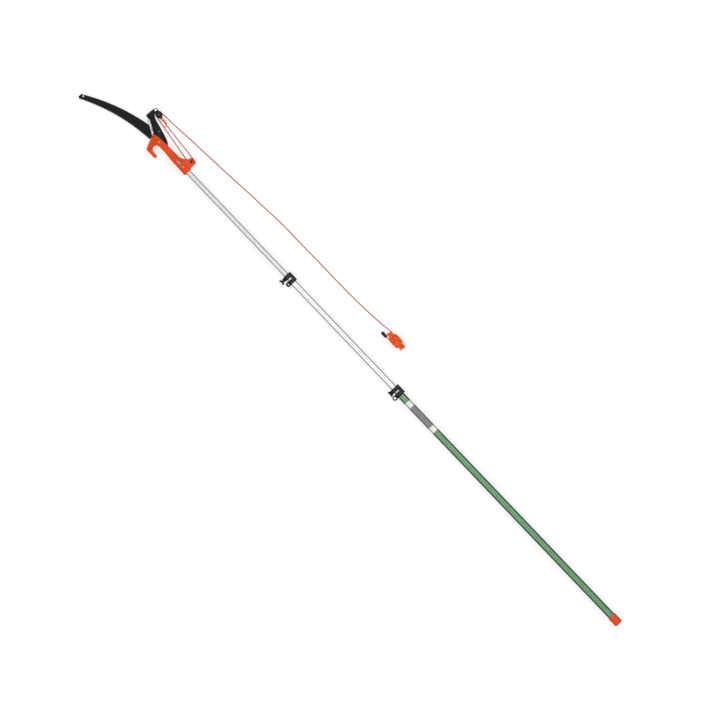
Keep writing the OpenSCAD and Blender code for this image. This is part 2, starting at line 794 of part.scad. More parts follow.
module blade_rivet() {
  top = lever_t / 2 + blade_t;
  color("#6d7175") on_head() {
    shaft(rivet_at, rivet_r, -lever_t / 2, top);
    shaft(rivet_at, rivet_r * 1.7, top, top + 1.6);
    shaft(rivet_at, rivet_r * 1.7, -lever_t / 2 - 1.6, -lever_t / 2);
  }
}

// Return spring between a post on the head and a post on the lever

spring_z = front_z + spring_lift;

module spring_post(p, z0) {
  color("#b9bcc0") on_head() {
    shaft(p, spring_post_r, z0, spring_z + spring_wire);
    shaft(p, spring_post_r + 1.5, spring_z + spring_wire, spring_z + spring_wire + 1.4);
  }
}

module head_spring_post() {
  spring_post(head_post, front_z - front_cheek_t);
}

module lever_spring_post() {
  spring_post(lever_post, -lever_t / 2);
}

module return_spring() {
  span = lever_post - head_post;
  long = norm(span);
  hook_r = spring_post_r + spring_wire / 2 + side_gap;
  coil_r = spring_r - spring_wire / 2;
  first = 10;
  curl_rings = 8;
  rings = spring_curls * curl_rings;
  route = concat(
    arc_route([0, 0], hook_r, 300, 90, 7, 0),
    [[4, hook_r, 0]],
    [for (i = [0 : rings]) let (a = 360 * i / curl_rings)
      [first + (long - 2 * first) * i / rings, coil_r * cos(a), coil_r * sin(a)]],
    [[long - 4, hook_r, 0]],
    arc_route([long, 0], hook_r, 90, -120, 7, 0)
  );
  echo(spring_gap = self_gap(route, spring_wire, 4));
  color("#c9ccd0") on_head() translate([head_post.x, head_post.y, spring_z])
    rotate([0, 0, atan2(span.y, span.x)]) tube(route, spring_wire, 6);
}

// Pulleys, pins and the block on the lever's end

module pulley(p) {
  bore_r = pulley_pin_r + run_fit;
  color("#2a2b2d") on_head() translate([p.x, p.y, 0]) rotate_extrude() difference() {
    translate([bore_r, -pulley_t / 2]) square([pulley_r - bore_r, pulley_t]);
    translate([pulley_pitch_r, 0]) circle(r = groove_r);
    translate([pulley_pitch_r, -groove_r]) square([pulley_r, 2 * groove_r]);
  }
}

module lower_pulley() {
  pulley(lower_axle);
}

module upper_pulley() {
  pulley(upper_axle);
}

module lower_pulley_pin() {
  ear_z = plate_in + ear_t;
  color("#c2c5c9") on_head() {
    shaft(lower_axle, pulley_pin_r, -ear_z, ear_z);
    shaft(lower_axle, pulley_pin_r * 1.7, ear_z, ear_z + 2);
    shaft(lower_axle, pulley_pin_r * 1.4, -ear_z - 1.5, -ear_z);
  }
}

module block_pin() {
  cap_z = plate_out + side_gap;
  color("#c2c5c9") on_head() difference() {
    union() {
      shaft(block_pin_at, pulley_pin_r, -cap_z, cap_z);
      shaft(block_pin_at, pulley_pin_r * 1.6, cap_z, cap_z + 1.2);
      shaft(block_pin_at, pulley_pin_r * 1.6, -cap_z - 1.2, -cap_z);
    }
    shaft(block_pin_at, pulley_pin_r * 0.55, -2 * cap_z, 2 * cap_z);
  }
}

module pulley_block() {
  color("#303133") on_head() difference() {
    union() {
      for (z = [plate_in, -plate_out]) translate([0, 0, z]) linear_extrude(block_plate_t) {
        link(block_pin_at, upper_axle, 6.5, pulley_r - 1.5);
        link(upper_axle, block_pin_at + (strap_at + 1) * tackle_dir, pulley_r - 1.5, 5);
      }
      translate([block_pin_at.x, block_pin_at.y, -plate_out]) rotate([0, 0, tackle_turn])
        translate([strap_at, -5, 0]) cube([strap_t, 10, 2 * plate_out]);
    }
    shaft(block_pin_at, pulley_pin_r + run_fit, -2 * plate_out, 2 * plate_out);
    shaft(upper_axle, pulley_pin_r, -2 * plate_out, 2 * plate_out);
    translate([block_pin_at.x, block_pin_at.y, -plate_out - 1]) rotate([0, 0, tackle_turn])
      translate([strap_at + strap_t, -10, 0]) cube([20, 20, 2 * plate_out + 2]);
  }
}

module upper_pulley_pin() {
  color("#c2c5c9") on_head() {
    shaft(upper_axle, pulley_pin_r, -plate_out, plate_out);
    shaft(upper_axle, pulley_pin_r * 1.6, plate_out, plate_out + 1.2);
    shaft(upper_axle, pulley_pin_r * 1.6, -plate_out - 1.2, -plate_out);
  }
}

// Cord, from the knot under the block, round both pulleys, down to the hank and the grip

function knot_face() = knot_at + knot_r * tackle_dir;

// Angle at which the cord from the knot meets the lower pulley
function knot_meets() =
  let (v = knot_face() - lower_axle) atan2(v.y, v.x) - acos(pulley_pitch_r / norm(v));

module becket_knot() {
  color("#d9622b") on_head() translate([knot_at.x, knot_at.y, 0]) sphere(r = knot_r);
}

module tackle_strands() {
  top_turn = tackle_turn - 90;
  from = knot_face();
  first = knot_meets();
  on_upper = upper_axle + pulley_pitch_r * [cos(top_turn), sin(top_turn)];
  meets = lower_axle + pulley_pitch_r * [cos(first), sin(first)];
  down = [for (i = [0 : 15]) let (p = from + (meets - from) * i / 16) [p.x, p.y, 0]];
  round_lower = arc_route(lower_axle, pulley_pitch_r, first, top_turn - 360, 12, 0);
  leave = lower_axle + pulley_pitch_r * [cos(top_turn), sin(top_turn)];
  up_end = on_upper + cord_part * tackle_dir;
  up = [for (i = [1 : 18]) let (p = leave + (up_end - leave) * i / 18) [p.x, p.y, 0]];
  color("#d9622b") on_head() tube(concat(down, round_lower, up), cord_d, 8);
}

module upper_cord_turn() {
  color("#d9622b") on_head()
    tube(arc_route(upper_axle, pulley_pitch_r, tackle_turn - 90, -90, 10, 0), cord_d, 8);
}

module lead_cord() {
  start = [upper_axle.x - cord_part, upper_axle.y - pulley_pitch_r, 0];
  color("#d9622b") on_head()
    tube(concat([start, start - [cord_d, 0, 0]], smooth_route(lead_points, 12)), cord_d, 8);
}

// Place across the hank after a number of half turns
function hank_side(tau) = hank_step * (tau - hank_mid) / 2;

// Place on the hank: whole numbers are the middles of the runs, even ones at the bottom
function hank_place(tau) =
  let (
    k = round(tau), f = tau - k, side = k % 2 == 0 ? 1 : -1,
    turn = (abs(f) - 0.3) / 0.2 * 90,
    ahead = f > 0 ? 1 : -1
  )
  abs(f) <= 0.3
    ? [side * f / 0.3 * hank_run, hank_side(tau), -side * hank_r]
    : [side * ahead * (hank_run + hank_r * sin(turn)), hank_side(tau), -side * hank_r * cos(turn)];

// Half turns at which a run takes 5 rings and an end 7, up to where the tail leaves the last run
function hank_steps(from, to) = [
  for (k = [from : to]) for (f = [-0.3, -0.15, 0, 0.15, 0.3, 0.35, 0.4, 0.45, 0.5, 0.55, 0.6, 0.65])
    if (k < to || f <= 0.15) k + f
];

function hank_route() =
  let (
    turns = [for (tau = hank_steps(hank_first, hank_last)) hank_place(tau)],
    face = grip_at - hank_at,
    out = [hank_run * 0.6, hank_side(hank_last + 0.15), -hank_r],
    over = face - [1, 0, 0] - out,
    tail = [
      for (i = [0 : 8]) let (t = i / 8, s = (1 - cos(180 * t)) / 2)
        out + [over.x * t, over.y * s, over.z * s]
    ]
  )
  concat([turns[0] + [cord_d, 0, 0]], turns, tail, [face, face + [grip_len / 2, 0, 0]]);

module free_cord() {
  start = hank_at + hank_route()[0];
  in = [start + [cord_d, 0.2, -0.3], start + [2 * cord_d, 0.8, -1.1]];
  color("#d9622b") on_head()
    tube(smooth_route(concat(cord_points, [in[1], in[0], start]), 12), cord_d, 8);
}

module cord_hank() {
  route = hank_route();
  echo(hank_gap = self_gap(route, cord_d, 3));
  color("#e8571d") on_head() translate(hank_at) tube(route, cord_d, 6);
}

// Cord bound round the middle of the hank, in flat-sided turns that step along it
module hank_tie() {
  rings = 16;
  pitch = cord_d + tie_space;
  w = hank_wide + tie_off - tie_bend;
  h = hank_r + tie_off - tie_bend;
  route = [
    for (i = [0 : tie_turns * rings])
      let (
        a = 360 * (i % rings + 0.5) / rings, q = floor(a / 90),
        sy = q == 0 || q > 2 ? 1 : -1, sz = q < 2 ? 1 : -1
      )
      [pitch * (i / rings - tie_turns / 2), sy * w + tie_bend * cos(a), sz * h + tie_bend * sin(a)]
  ];
  echo(tie_gap = self_gap(route, cord_d, 4));
  color("#e8571d") on_head() translate(hank_at) tube(route, cord_d, 6);
}

module pull_grip() {
  color("#1f1f20") on_head() translate(grip_at) along_x() rotate_extrude()
    difference() {
      polygon(concat(
        [[0, 0]], [for (i = [0 : 4]) [grip_r - 2 + 2 * sin(22.5 * i), 2 - 2 * cos(22.5 * i)]],
        [for (i = [1 : 7]) [grip_r - 0.8 * sin(180 * i / 8), 2 + (grip_len - 4) * i / 8]],
        [for (i = [4 : -1 : 0]) [grip_r - 2 + 2 * sin(22.5 * i), grip_len - 2 + 2 * cos(22.5 * i)]],
        [[0, grip_len]]
      ));
      translate([-1, -1]) square([1 + cord_r + run_fit, grip_len * 0.6 + 1]);
    }
}

outer_tube();
end_cap();
label_sleeve();
lower_clamp_collar();
lower_clamp_fixing_screw();
lower_clamp_wing_screw();
middle_tube();
middle_guide_bush();
upper_clamp_collar();
upper_clamp_fixing_screw();
upper_clamp_wing_screw();
inner_tube();
inner_guide_bush();
head_casting();
head_bolt();
head_nut();
saw_blade();
saw_screws();
pivot_bolt();
pivot_nut();
pivot_bush();
lever();
cutting_blade();
blade_rivet();
head_spring_post();
lever_spring_post();
return_spring();
lower_pulley();
lower_pulley_pin();
block_pin();
pulley_block();
upper_pulley();
upper_pulley_pin();
becket_knot();
tackle_strands();
upper_cord_turn();
lead_cord();
free_cord();
cord_hank();
hank_tie();
pull_grip();
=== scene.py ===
"""Looks, light and camera for a tree pruner pole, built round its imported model."""

from __future__ import annotations

import json
import logging
import math
from collections.abc import Callable, Mapping, Sequence
from dataclasses import dataclass, field
from enum import Enum
from typing import Protocol, Union

import bpy
from bpy.types import ID, Material, Node, NodeSocket, Object
from mathutils import Matrix, Vector

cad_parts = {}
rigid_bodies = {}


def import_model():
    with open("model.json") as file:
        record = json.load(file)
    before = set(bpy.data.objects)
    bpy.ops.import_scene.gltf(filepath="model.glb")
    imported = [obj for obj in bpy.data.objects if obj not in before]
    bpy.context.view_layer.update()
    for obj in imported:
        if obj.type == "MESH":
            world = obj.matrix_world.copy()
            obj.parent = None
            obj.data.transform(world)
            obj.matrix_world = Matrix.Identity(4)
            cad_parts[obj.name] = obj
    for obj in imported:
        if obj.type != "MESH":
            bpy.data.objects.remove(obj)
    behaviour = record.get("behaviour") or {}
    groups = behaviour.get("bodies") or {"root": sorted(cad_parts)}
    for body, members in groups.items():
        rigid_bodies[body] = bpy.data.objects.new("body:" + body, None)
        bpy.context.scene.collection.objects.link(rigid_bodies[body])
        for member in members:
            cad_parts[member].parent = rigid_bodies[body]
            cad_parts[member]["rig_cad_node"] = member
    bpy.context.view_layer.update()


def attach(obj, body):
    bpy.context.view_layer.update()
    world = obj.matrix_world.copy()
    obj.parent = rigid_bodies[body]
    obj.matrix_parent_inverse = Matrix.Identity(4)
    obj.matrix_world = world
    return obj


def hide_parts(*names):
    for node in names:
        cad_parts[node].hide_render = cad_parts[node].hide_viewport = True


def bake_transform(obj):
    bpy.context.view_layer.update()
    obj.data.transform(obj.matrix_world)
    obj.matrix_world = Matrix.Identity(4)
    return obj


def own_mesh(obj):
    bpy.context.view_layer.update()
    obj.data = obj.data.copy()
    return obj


LOG = logging.getLogger("pruner")
MM = 0.001
TAU = 2 * math.pi
WELD = 0.00001
TOUCH = 0.00005
ROUND_END_DEGREES = (30, 60, 84)
ALONG = "along"
EDGE = "edge"

Colour = tuple[float, float, float, float]
Number = Union["Value", float]
Feed = Union["Value", float, Sequence[float]]
Route = list[Vector]
Places = tuple[tuple[float, float, float], ...]
Pairs = tuple[tuple[float, float], ...]


def shade(red: int, green: int, blue: int) -> Colour:
    """Linear colour of a shade given as three eight-bit numbers.

    Args:
        red: red part, from 0 to 255.
        green: green part.
        blue: blue part.

    Returns:
        The colour with an opaque fourth part.
    """

    def linear(part: int) -> float:
        """One part in linear light."""
        s = part / 255
        return s / 12.92 if s <= 0.04045 else ((s + 0.055) / 1.055) ** 2.4

    return linear(red), linear(green), linear(blue), 1.0


class Value:
    """A number on a shader socket, whose operators add Math nodes."""

    def __init__(self, bench: Bench, socket: NodeSocket) -> None:
        """Keep the socket and the bench that its node stands on."""
        self.bench = bench
        self.socket = socket

    def math(self, operation: str, *others: Number) -> Value:
        """Put this value, with others after it, through a Math node."""
        return self.bench.calc(operation, self, *others)

    def __add__(self, other: Number) -> Value:
        """This plus the other."""
        return self.math("ADD", other)

    __radd__ = __add__

    def __sub__(self, other: Number) -> Value:
        """This less the other."""
        return self.math("SUBTRACT", other)

    def __rsub__(self, other: Number) -> Value:
        """The other less this."""
        return self.bench.calc("SUBTRACT", other, self)

    def __mul__(self, other: Number) -> Value:
        """This times the other."""
        return self.math("MULTIPLY", other)

    __rmul__ = __mul__

    def __truediv__(self, other: Number) -> Value:
        """This over the other."""
        return self.math("DIVIDE", other)

    def __rtruediv__(self, other: Number) -> Value:
        """The other over this."""
        return self.bench.calc("DIVIDE", other, self)

    def sine(self) -> Value:
        """The sine of this angle."""
        return self.math("SINE")

    def most(self, other: Number) -> Value:
        """The larger of the two."""
        return self.math("MAXIMUM", other)

    def step(self, low: float, high: float) -> Value:
        """Rise smoothly from 0 at low to 1 at high."""
        feeds = {"Value": self, "From Min": low, "From Max": high}
        return self.bench.value(
            self.bench.node("ShaderNodeMapRange", {"interpolation_type": "SMOOTHSTEP"}, feeds)
        )


class Bench:
    """A material in the making."""

    def __init__(self, name: str) -> None:
        """Start an empty node material.

        Args:
            name: the material's name.
        """
        self.material = bpy.data.materials.new(name)
        self.material.use_nodes = True
        self.tree = self.material.node_tree
        self.tree.nodes.clear()

    def node(
        self,
        kind: str,
        settings: Mapping[str, object] | None = None,
        feeds: Mapping[str | int, Feed] | None = None,
    ) -> Node:
        """Make any node.

        Args:
            kind: the node's type.
            settings: its settings, which are set first.
            feeds: values or links of its sockets, by name or number.

        Returns:
            The node.
        """
        made = self.tree.nodes.new(kind)
        for key, setting in (settings or {}).items():
            setattr(made, key, setting)
        for key, feed in (feeds or {}).items():
            if isinstance(feed, Value):
                self.tree.links.new(feed.socket, made.inputs[key])
            else:
                made.inputs[key].default_value = feed
        return made

    def value(self, node: Node, output: str | int = 0) -> Value:
        """Wrap one of a node's outputs."""
        return Value(self, node.outputs[output])

    def calc(self, operation: str, *parts: Number) -> Value:
        """Put numbers through a Math node, in order."""
        node = self.node("ShaderNodeMath", {"operation": operation}, dict(enumerate(parts)))
        return self.value(node)

    def place(self) -> Value:
        """Where a point is on the object, in metres."""
        return self.value(self.node("ShaderNodeTexCoord"), "Object")

    def parts(self, vector: Value) -> tuple[Value, Value, Value]:
        """Split a vector into its three numbers."""
        node = self.node("ShaderNodeSeparateXYZ", None, {0: vector})
        return self.value(node, 0), self.value(node, 1), self.value(node, 2)

    def along(self) -> tuple[Value, Value]:
        """Distance along a run in metres, and the share of the way round it."""
        run, turn, _ = self.parts(self.value(self.node("ShaderNodeUVMap", {"uv_map": ALONG})))
        return run, turn

    def edge(self) -> Value:
        """How near a point is to the crest of a softened edge."""
        node = self.node("ShaderNodeAttribute", {"attribute_name": EDGE})
        return self.value(node, "Fac")

    def noise(self, scale: Sequence[float], detail: float = 3.0, rough: float = 0.55) -> Value:
        """Noise on the object.

        Args:
            scale: how many features there are to the metre, each way.
            detail: number of finer layers.
            rough: strength of the finer layers.

        Returns:
            The noise, about one half.
        """
        mapped = self.node("ShaderNodeMapping", None, {"Vector": self.place(), "Scale": scale})
        feeds = {"Vector": self.value(mapped), "Scale": 1.0, "Detail": detail, "Roughness": rough}
        return self.value(self.node("ShaderNodeTexNoise", None, feeds))

    def mix(self, share: Number, first: Feed, second: Feed) -> Value:
        """Mix two colours by the share of the second."""
        node = self.node("ShaderNodeMix", {"data_type": "RGBA"}, {0: share, 6: first, 7: second})
        return self.value(node, 2)

    def bump(self, height: Value, depth: float, strength: float = 1.0) -> Value:
        """Turn a height from 0 to 1 into a normal, where 1 stands for a depth in metres."""
        feeds = {"Height": height, "Distance": depth, "Strength": strength}
        return self.value(self.node("ShaderNodeBump", None, feeds))

    def done(self, feeds: Mapping[str, Feed]) -> Material:
        """Close the material with its shader.

        Args:
            feeds: values or links of the shader's sockets.

        Returns:
            The material.
        """
        shader = self.node("ShaderNodeBsdfPrincipled", None, feeds)
        self.node("ShaderNodeOutputMaterial", None, {"Surface": self.value(shader)})
        return self.material


class Finish(Protocol):
    """A finish that builds its own node material."""

    def make(self) -> Material:
        """Build the material."""


@dataclass(frozen=True)
class DrawnTube:
    """Drawn aluminium, bright or anodised, with lines along it and rub marks."""

    name: str
    colour: Colour
    pale: Colour
    bare: Colour
    rough: float
    rubbed: float
    metal: float = 0.92

    def make(self) -> Material:
        """Build the material.

        Returns:
            The material.
        """
        bench = Bench(self.name)
        lines = bench.noise((2.5, 900, 900), 4)
        broad = bench.noise((3, 40, 40), 2)
        rubs = bench.noise((14, 260, 260), 5, 0.65).step(0.60, 0.72) * self.rubbed
        tone = bench.mix(lines.step(0.35, 0.7), self.colour, self.pale)
        tone = bench.mix(rubs, tone, self.bare)
        return bench.done({
            "Base Color": tone,
            "Metallic": self.metal,
            "Roughness": self.rough + 0.10 * broad + 0.08 * lines + 0.12 * rubs,
            "Normal": bench.bump(lines, 0.00002, 0.35),
        })


@dataclass(frozen=True)
class Coat:
    """Paint or moulded plastic with a fine grain, worn along its softened edges."""

    name: str
    colour: Colour
    deep: Colour
    worn: Colour
    rough: float
    grain: float
    grain_depth: float
    gloss: float = 0.3
    wear: float = 0.4
    coat: float = 0.0

    def make(self) -> Material:
        """Build the material.

        Returns:
            The material.
        """
        bench = Bench(self.name)
        grain = bench.noise((self.grain,) * 3, 4)
        broad = bench.noise((28, 28, 28), 3)
        patch = bench.noise((260, 260, 260), 4, 0.7)
        scuff = bench.noise((60, 900, 900), 3).step(0.66, 0.76) * patch.step(0.45, 0.7)
        wear = bench.edge() * patch.step(0.38, 0.62) * self.wear
        tone = bench.mix(broad.step(0.35, 0.7), self.colour, self.deep)
        tone = bench.mix(wear + 0.25 * scuff, tone, self.worn)
        return bench.done({
            "Base Color": tone,
            "Roughness": self.rough + 0.14 * (grain - 0.5) + 0.12 * scuff - 0.10 * wear,
            "Specular IOR Level": self.gloss,
            "Coat Weight": self.coat,
            "Coat Roughness": 0.25,
            "Normal": bench.bump(grain, self.grain_depth, 0.6),
        })


@dataclass(frozen=True)
class Metal:
    """Plated or bare metal with fine turning marks and a little dulling."""

    name: str
    colour: Colour
    dull: Colour
    rough: float
    metal: float = 1.0
    marks: float = 1400.0

    def make(self) -> Material:
        """Build the material.

        Returns:
            The material.
        """
        bench = Bench(self.name)
        marks = bench.noise((self.marks,) * 3, 4)
        stain = bench.noise((150, 150, 150), 4, 0.65).step(0.45, 0.72)
        return bench.done({
            "Base Color": bench.mix(stain * 0.6, self.colour, self.dull),
            "Metallic": self.metal,
            "Roughness": self.rough + 0.10 * marks + 0.14 * stain,
            "Normal": bench.bump(marks, 0.00002, 0.3),
        })


@dataclass(frozen=True)
class SawSteel:
    """Black slide coat on the saw, ground to bare steel on its teeth."""

    name: str
    root: tuple[float, float]
    point: tuple[float, float]
    sag: float
    colour: Colour
    ground: Colour

    def make(self) -> Material:
        """Build the material.

        Returns:
            The material.
        """
        bench = Bench(self.name)
        x, y, _ = bench.parts(bench.place())
        long = math.dist(self.root, self.point)
        cos = (self.point[0] - self.root[0]) / long
        sin = (self.point[1] - self.root[1]) / long
        dx = x - self.root[0]
        dy = y - self.root[1]
        share = (dx * cos + dy * sin) / long
        height = dy * cos - dx * sin + 4 * self.sag * share * (1 - share)
        on_edge = share.step(-0.002, 0.0) * (1 - share.step(1.0, 1.002))
        marks = bench.noise((300, 300, 300), 4)
        rubs = bench.noise((12, 420, 420), 5, 0.65).step(0.58, 0.75)
        teeth = height.step(0.0003, 0.0011) * on_edge
        tone = bench.mix(0.14 * rubs, self.colour, self.ground)
        tone = bench.mix(teeth, tone, self.ground)
        return bench.done({
            "Base Color": tone,
            "Metallic": 0.95 * teeth,
            "Roughness": 0.42 + 0.10 * (marks - 0.5) + 0.08 * rubs - 0.08 * teeth,
            "Specular IOR Level": 0.1,
            "Normal": bench.bump(marks, 0.00002, 0.4),
        })


@dataclass(frozen=True)
class Braid:
    """Braided cord: strands that cross both ways, a little fuzzy, weathered where it ran free, with painted
    shade in its grooves.
    """

    name: str
    colour: Colour
    groove_shade: Colour
    dull: Colour
    dull_groove_shade: Colour
    clean_from: float
    fade: float = 0.06
    pitch: float = 0.0052
    strands: int = 4

    def make(self) -> Material:
        """Build the material.

        Returns:
            The material.
        """
        bench = Bench(self.name)
        run, turn = bench.along()
        lay = run * (TAU / self.pitch)
        wind = turn * (TAU * self.strands)
        weave = ((wind + lay).sine()).most((wind - lay).sine()) * 0.5 + 0.5
        fuzz = bench.noise((2600, 2600, 2600), 3)
        # painted shade in random patches, mixed towards the darker groove colour
        shade_mottle = bench.noise((95, 95, 95), 3)
        fresh = run.step(self.clean_from - self.fade, self.clean_from)
        tone = bench.mix(fresh, self.dull, self.colour)
        # painted shade: the grooves between the strands take a darker colour in place of the shade that falls
        # there
        groove_shade = bench.mix(fresh, self.dull_groove_shade, self.groove_shade)
        tone = bench.mix(weave.step(0.45, 0.9), groove_shade, tone)
        tone = bench.mix(0.68 * shade_mottle.step(0.48, 0.64), tone, groove_shade)
        return bench.done({
            "Base Color": tone,
            "Roughness": 0.72 + 0.2 * fuzz,
            "Sheen Weight": 0.08,
            "Specular IOR Level": 0.2,
            "Normal": bench.bump(weave * 0.8 + fuzz * 0.2, 0.0004, 0.8),
        })


@dataclass(frozen=True)
class Film:
    """Plain label film, dark between two pale bands, with no print."""

    name: str
    start: float
    end: float
    band: float
    dark: Colour
    pale: Colour
    soft: float = 0.0004

    def make(self) -> Material:
        """Build the material.

        Returns:
            The material.
        """
        bench = Bench(self.name)
        x, _, _ = bench.parts(bench.place())
        first, last = self.start + self.band, self.end - self.band
        inside = x.step(first - self.soft, first + self.soft)
        inside = inside * (1 - x.step(last - self.soft, last + self.soft))
        fine = bench.noise((500, 500, 500), 3)
        scuff = bench.noise((30, 500, 500), 4, 0.65).step(0.6, 0.72)
        tone = bench.mix(inside, self.pale, self.dark)
        tone = bench.mix(0.3 * scuff, tone, self.pale)
        return bench.done({
            "Base Color": tone,
            "Metallic": 0.35 * (1 - inside),
            "Roughness": 0.26 + 0.12 * fine + 0.15 * scuff,
            "Normal": bench.bump(fine, 0.00001, 0.3),
        })


@dataclass(frozen=True)
class Floor:
    """Matt studio floor with a glow of its own, so that it shows white."""

    name: str
    colour: Colour
    deep: Colour
    glow: float

    def make(self) -> Material:
        """Build the material.

        Returns:
            The material.
        """
        bench = Bench(self.name)
        cloud = bench.noise((0.6, 0.6, 0.6), 2)
        tone = bench.mix(cloud * 0.3, self.colour, self.deep)
        return bench.done({
            "Base Color": tone,
            "Roughness": 0.9,
            "Specular IOR Level": 0.1,
            "Emission Color": tone,
            "Emission Strength": self.glow,
        })


class EndForm(Enum):
    """How the ends of a run are closed."""

    FLAT = "flat"
    ROUND = "round"


@dataclass
class Run:
    """A round cord or wire along a route, in metres."""

    name: str
    route: Route
    radius: float
    ends: EndForm = EndForm.ROUND
    sides: int = 14

    def length(self) -> float:
        """Length of the route in metres."""
        return sum((b - a).length for a, b in zip(self.route, self.route[1:]))

    def _stations(self) -> list[tuple[Vector, Vector, float, float]]:
        """Centre, heading, radius and distance of each ring, with the rings of round ends.

        Returns:
            The rings in order.
        """
        last = len(self.route) - 1
        found = []
        gone = 0.0
        for i, here in enumerate(self.route):
            heading = self.route[min(i + 1, last)] - self.route[max(i - 1, 0)]
            if i:
                gone += (here - self.route[i - 1]).length
            found.append((here, heading.normalized(), self.radius, gone))
        for way in (-1, 1) if self.ends is EndForm.ROUND else ():
            here, heading, _, at = found[0 if way < 0 else -1]
            for degrees in ROUND_END_DEGREES:
                angle = math.radians(degrees)
                out = way * self.radius * math.sin(angle)
                ring = (here + heading * out, heading, self.radius * math.cos(angle), at + out)
                found.insert(0 if way < 0 else len(found), ring)
        return found

    def build(self) -> Object:
        """Make the tube, with a UV map of distance along it and share of the turn.

        Returns:
            The new object, linked and at the origin.
        """
        stations = self._stations()
        n = self.sides
        side = stations[0][1].orthogonal().normalized()
        points: list[Vector] = []
        for i, (here, heading, radius, _) in enumerate(stations):
            if i:
                side = stations[i - 1][1].rotation_difference(heading) @ side
                side = (side - heading * side.dot(heading)).normalized()
            across = heading.cross(side)
            for k in range(n):
                angle = TAU * k / n
                points.append(here + radius * (math.cos(angle) * side + math.sin(angle) * across))
        faces: list[tuple[int, ...]] = []
        marks: list[tuple[float, float]] = []
        for i in range(len(stations) - 1):
            low, high = stations[i][3], stations[i + 1][3]
            for k in range(n):
                a, b = i * n + k, i * n + (k + 1) % n
                faces.append((a, b, b + n, a + n))
                marks += [(low, k / n), (low, (k + 1) / n), (high, (k + 1) / n), (high, k / n)]
        top = (len(stations) - 1) * n
        faces.append(tuple(range(n - 1, -1, -1)))
        faces.append(tuple(range(top, top + n)))
        marks += [(stations[0][3], k / n) for k in range(n - 1, -1, -1)]
        marks += [(stations[-1][3], k / n) for k in range(n)]
        mesh = bpy.data.meshes.new(self.name)
        mesh.from_pydata([tuple(p) for p in points], [], faces)
        layer = mesh.uv_layers.new(name=ALONG)
        layer.uv.foreach_set("vector", [c for mark in marks for c in mark])
        mesh.polygons.foreach_set("use_smooth", [True] * len(faces))
        mesh.update()
        return linked(self.name, mesh)


def spline(points: Sequence[Vector], step: float) -> Route:
    """Smooth route through given points.

    Args:
        points: the points, in millimetres.
        step: distance from one ring to the next.

    Returns:
        The route, still in millimetres.
    """
    found: Route = []
    for i in range(len(points) - 1):
        p0, p1 = points[max(i - 1, 0)], points[i]
        p2, p3 = points[i + 1], points[min(i + 2, len(points) - 1)]
        count = max(1, round((p2 - p1).length / step))
        for k in range(count):
            t = k / count
            found.append(0.5 * (
                2 * p1 + (p2 - p0) * t + (2 * p0 - 5 * p1 + 4 * p2 - p3) * t * t
                + (3 * p1 - p0 - 3 * p2 + p3) * t * t * t
            ))
    return [*found, points[-1].copy()]


def arc(centre: Vector, radius: float, first: float, last: float, count: int) -> Route:
    """Points on an arc in the head's plane.

    Args:
        centre: the arc's centre, in millimetres.
        radius: its radius.
        first: angle of its first point, in degrees.
        last: angle of its last point.
        count: number of steps.

    Returns:
        The points, with both ends.
    """
    turns = [math.radians(first + (last - first) * i / count) for i in range(count + 1)]
    return [centre + radius * Vector((math.cos(a), math.sin(a), 0)) for a in turns]


def linked(name: str, data: ID) -> Object:
    """Put a new object into the scene.

    Args:
        name: its name.
        data: the mesh, light or camera that it shows.

    Returns:
        The object.
    """
    made = bpy.data.objects.new(name, data)
    bpy.context.scene.collection.objects.link(made)
    return made


def cad_nodes() -> dict[str, Object]:
    """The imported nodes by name."""
    return {o["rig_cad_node"]: o for o in bpy.data.objects if "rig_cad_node" in o}


def edit(piece: Object) -> None:
    """Open a piece alone in edit mode with all of it selected.

    Args:
        piece: the piece, in object mode.
    """
    bpy.ops.object.select_all(action="DESELECT")
    piece.select_set(True)
    bpy.context.view_layer.objects.active = piece
    bpy.ops.object.mode_set(mode="EDIT")
    bpy.ops.mesh.select_all(action="SELECT")


def face_out(smooth: float) -> None:
    """Turn every face of the open piece outwards, leave edit mode and smooth it.

    Args:
        smooth: edges sharper than this stay sharp, in degrees.
    """
    bpy.ops.mesh.select_all(action="SELECT")
    bpy.ops.mesh.normals_make_consistent(inside=False)
    bpy.ops.object.mode_set(mode="OBJECT")
    bpy.ops.object.shade_smooth_by_angle(angle=math.radians(smooth))


def pick(piece: Object, wanted: Callable[[Vector], bool]) -> None:
    """Open a piece for editing with some of its corners selected.

    Args:
        piece: the piece, in object mode.
        wanted: tells from a corner's place whether it is selected.
    """
    edit(piece)
    bpy.ops.mesh.select_all(action="DESELECT")
    bpy.ops.object.mode_set(mode="OBJECT")
    for corner in piece.data.vertices:
        corner.select = wanted(corner.co)
    bpy.ops.object.mode_set(mode="EDIT")


def nudge(piece: Object, by: Vector, wanted: Callable[[Vector], bool]) -> None:
    """Move some of a piece's corners.

    Args:
        piece: the piece, in object mode.
        by: how far they move, in metres.
        wanted: tells from a corner's place whether it moves.
    """
    pick(piece, wanted)
    bpy.ops.transform.translate(value=by, orient_type="GLOBAL")
    bpy.ops.object.mode_set(mode="OBJECT")


def gather(piece: Object, by: Vector, wanted: Callable[[Vector], bool]) -> None:
    """Draw some of a piece's corners together at their middle, and move that.

    Args:
        piece: the piece, in object mode.
        by: how far the middle then moves, in metres.
        wanted: tells from a corner's place whether it is drawn in.
    """
    pick(piece, wanted)
    bpy.ops.mesh.merge(type="CENTER")
    bpy.ops.transform.translate(value=by, orient_type="GLOBAL")
    bpy.ops.mesh.select_all(action="SELECT")
    bpy.ops.mesh.delete_loose(use_verts=True, use_edges=True, use_faces=False)
    bpy.ops.object.mode_set(mode="OBJECT")


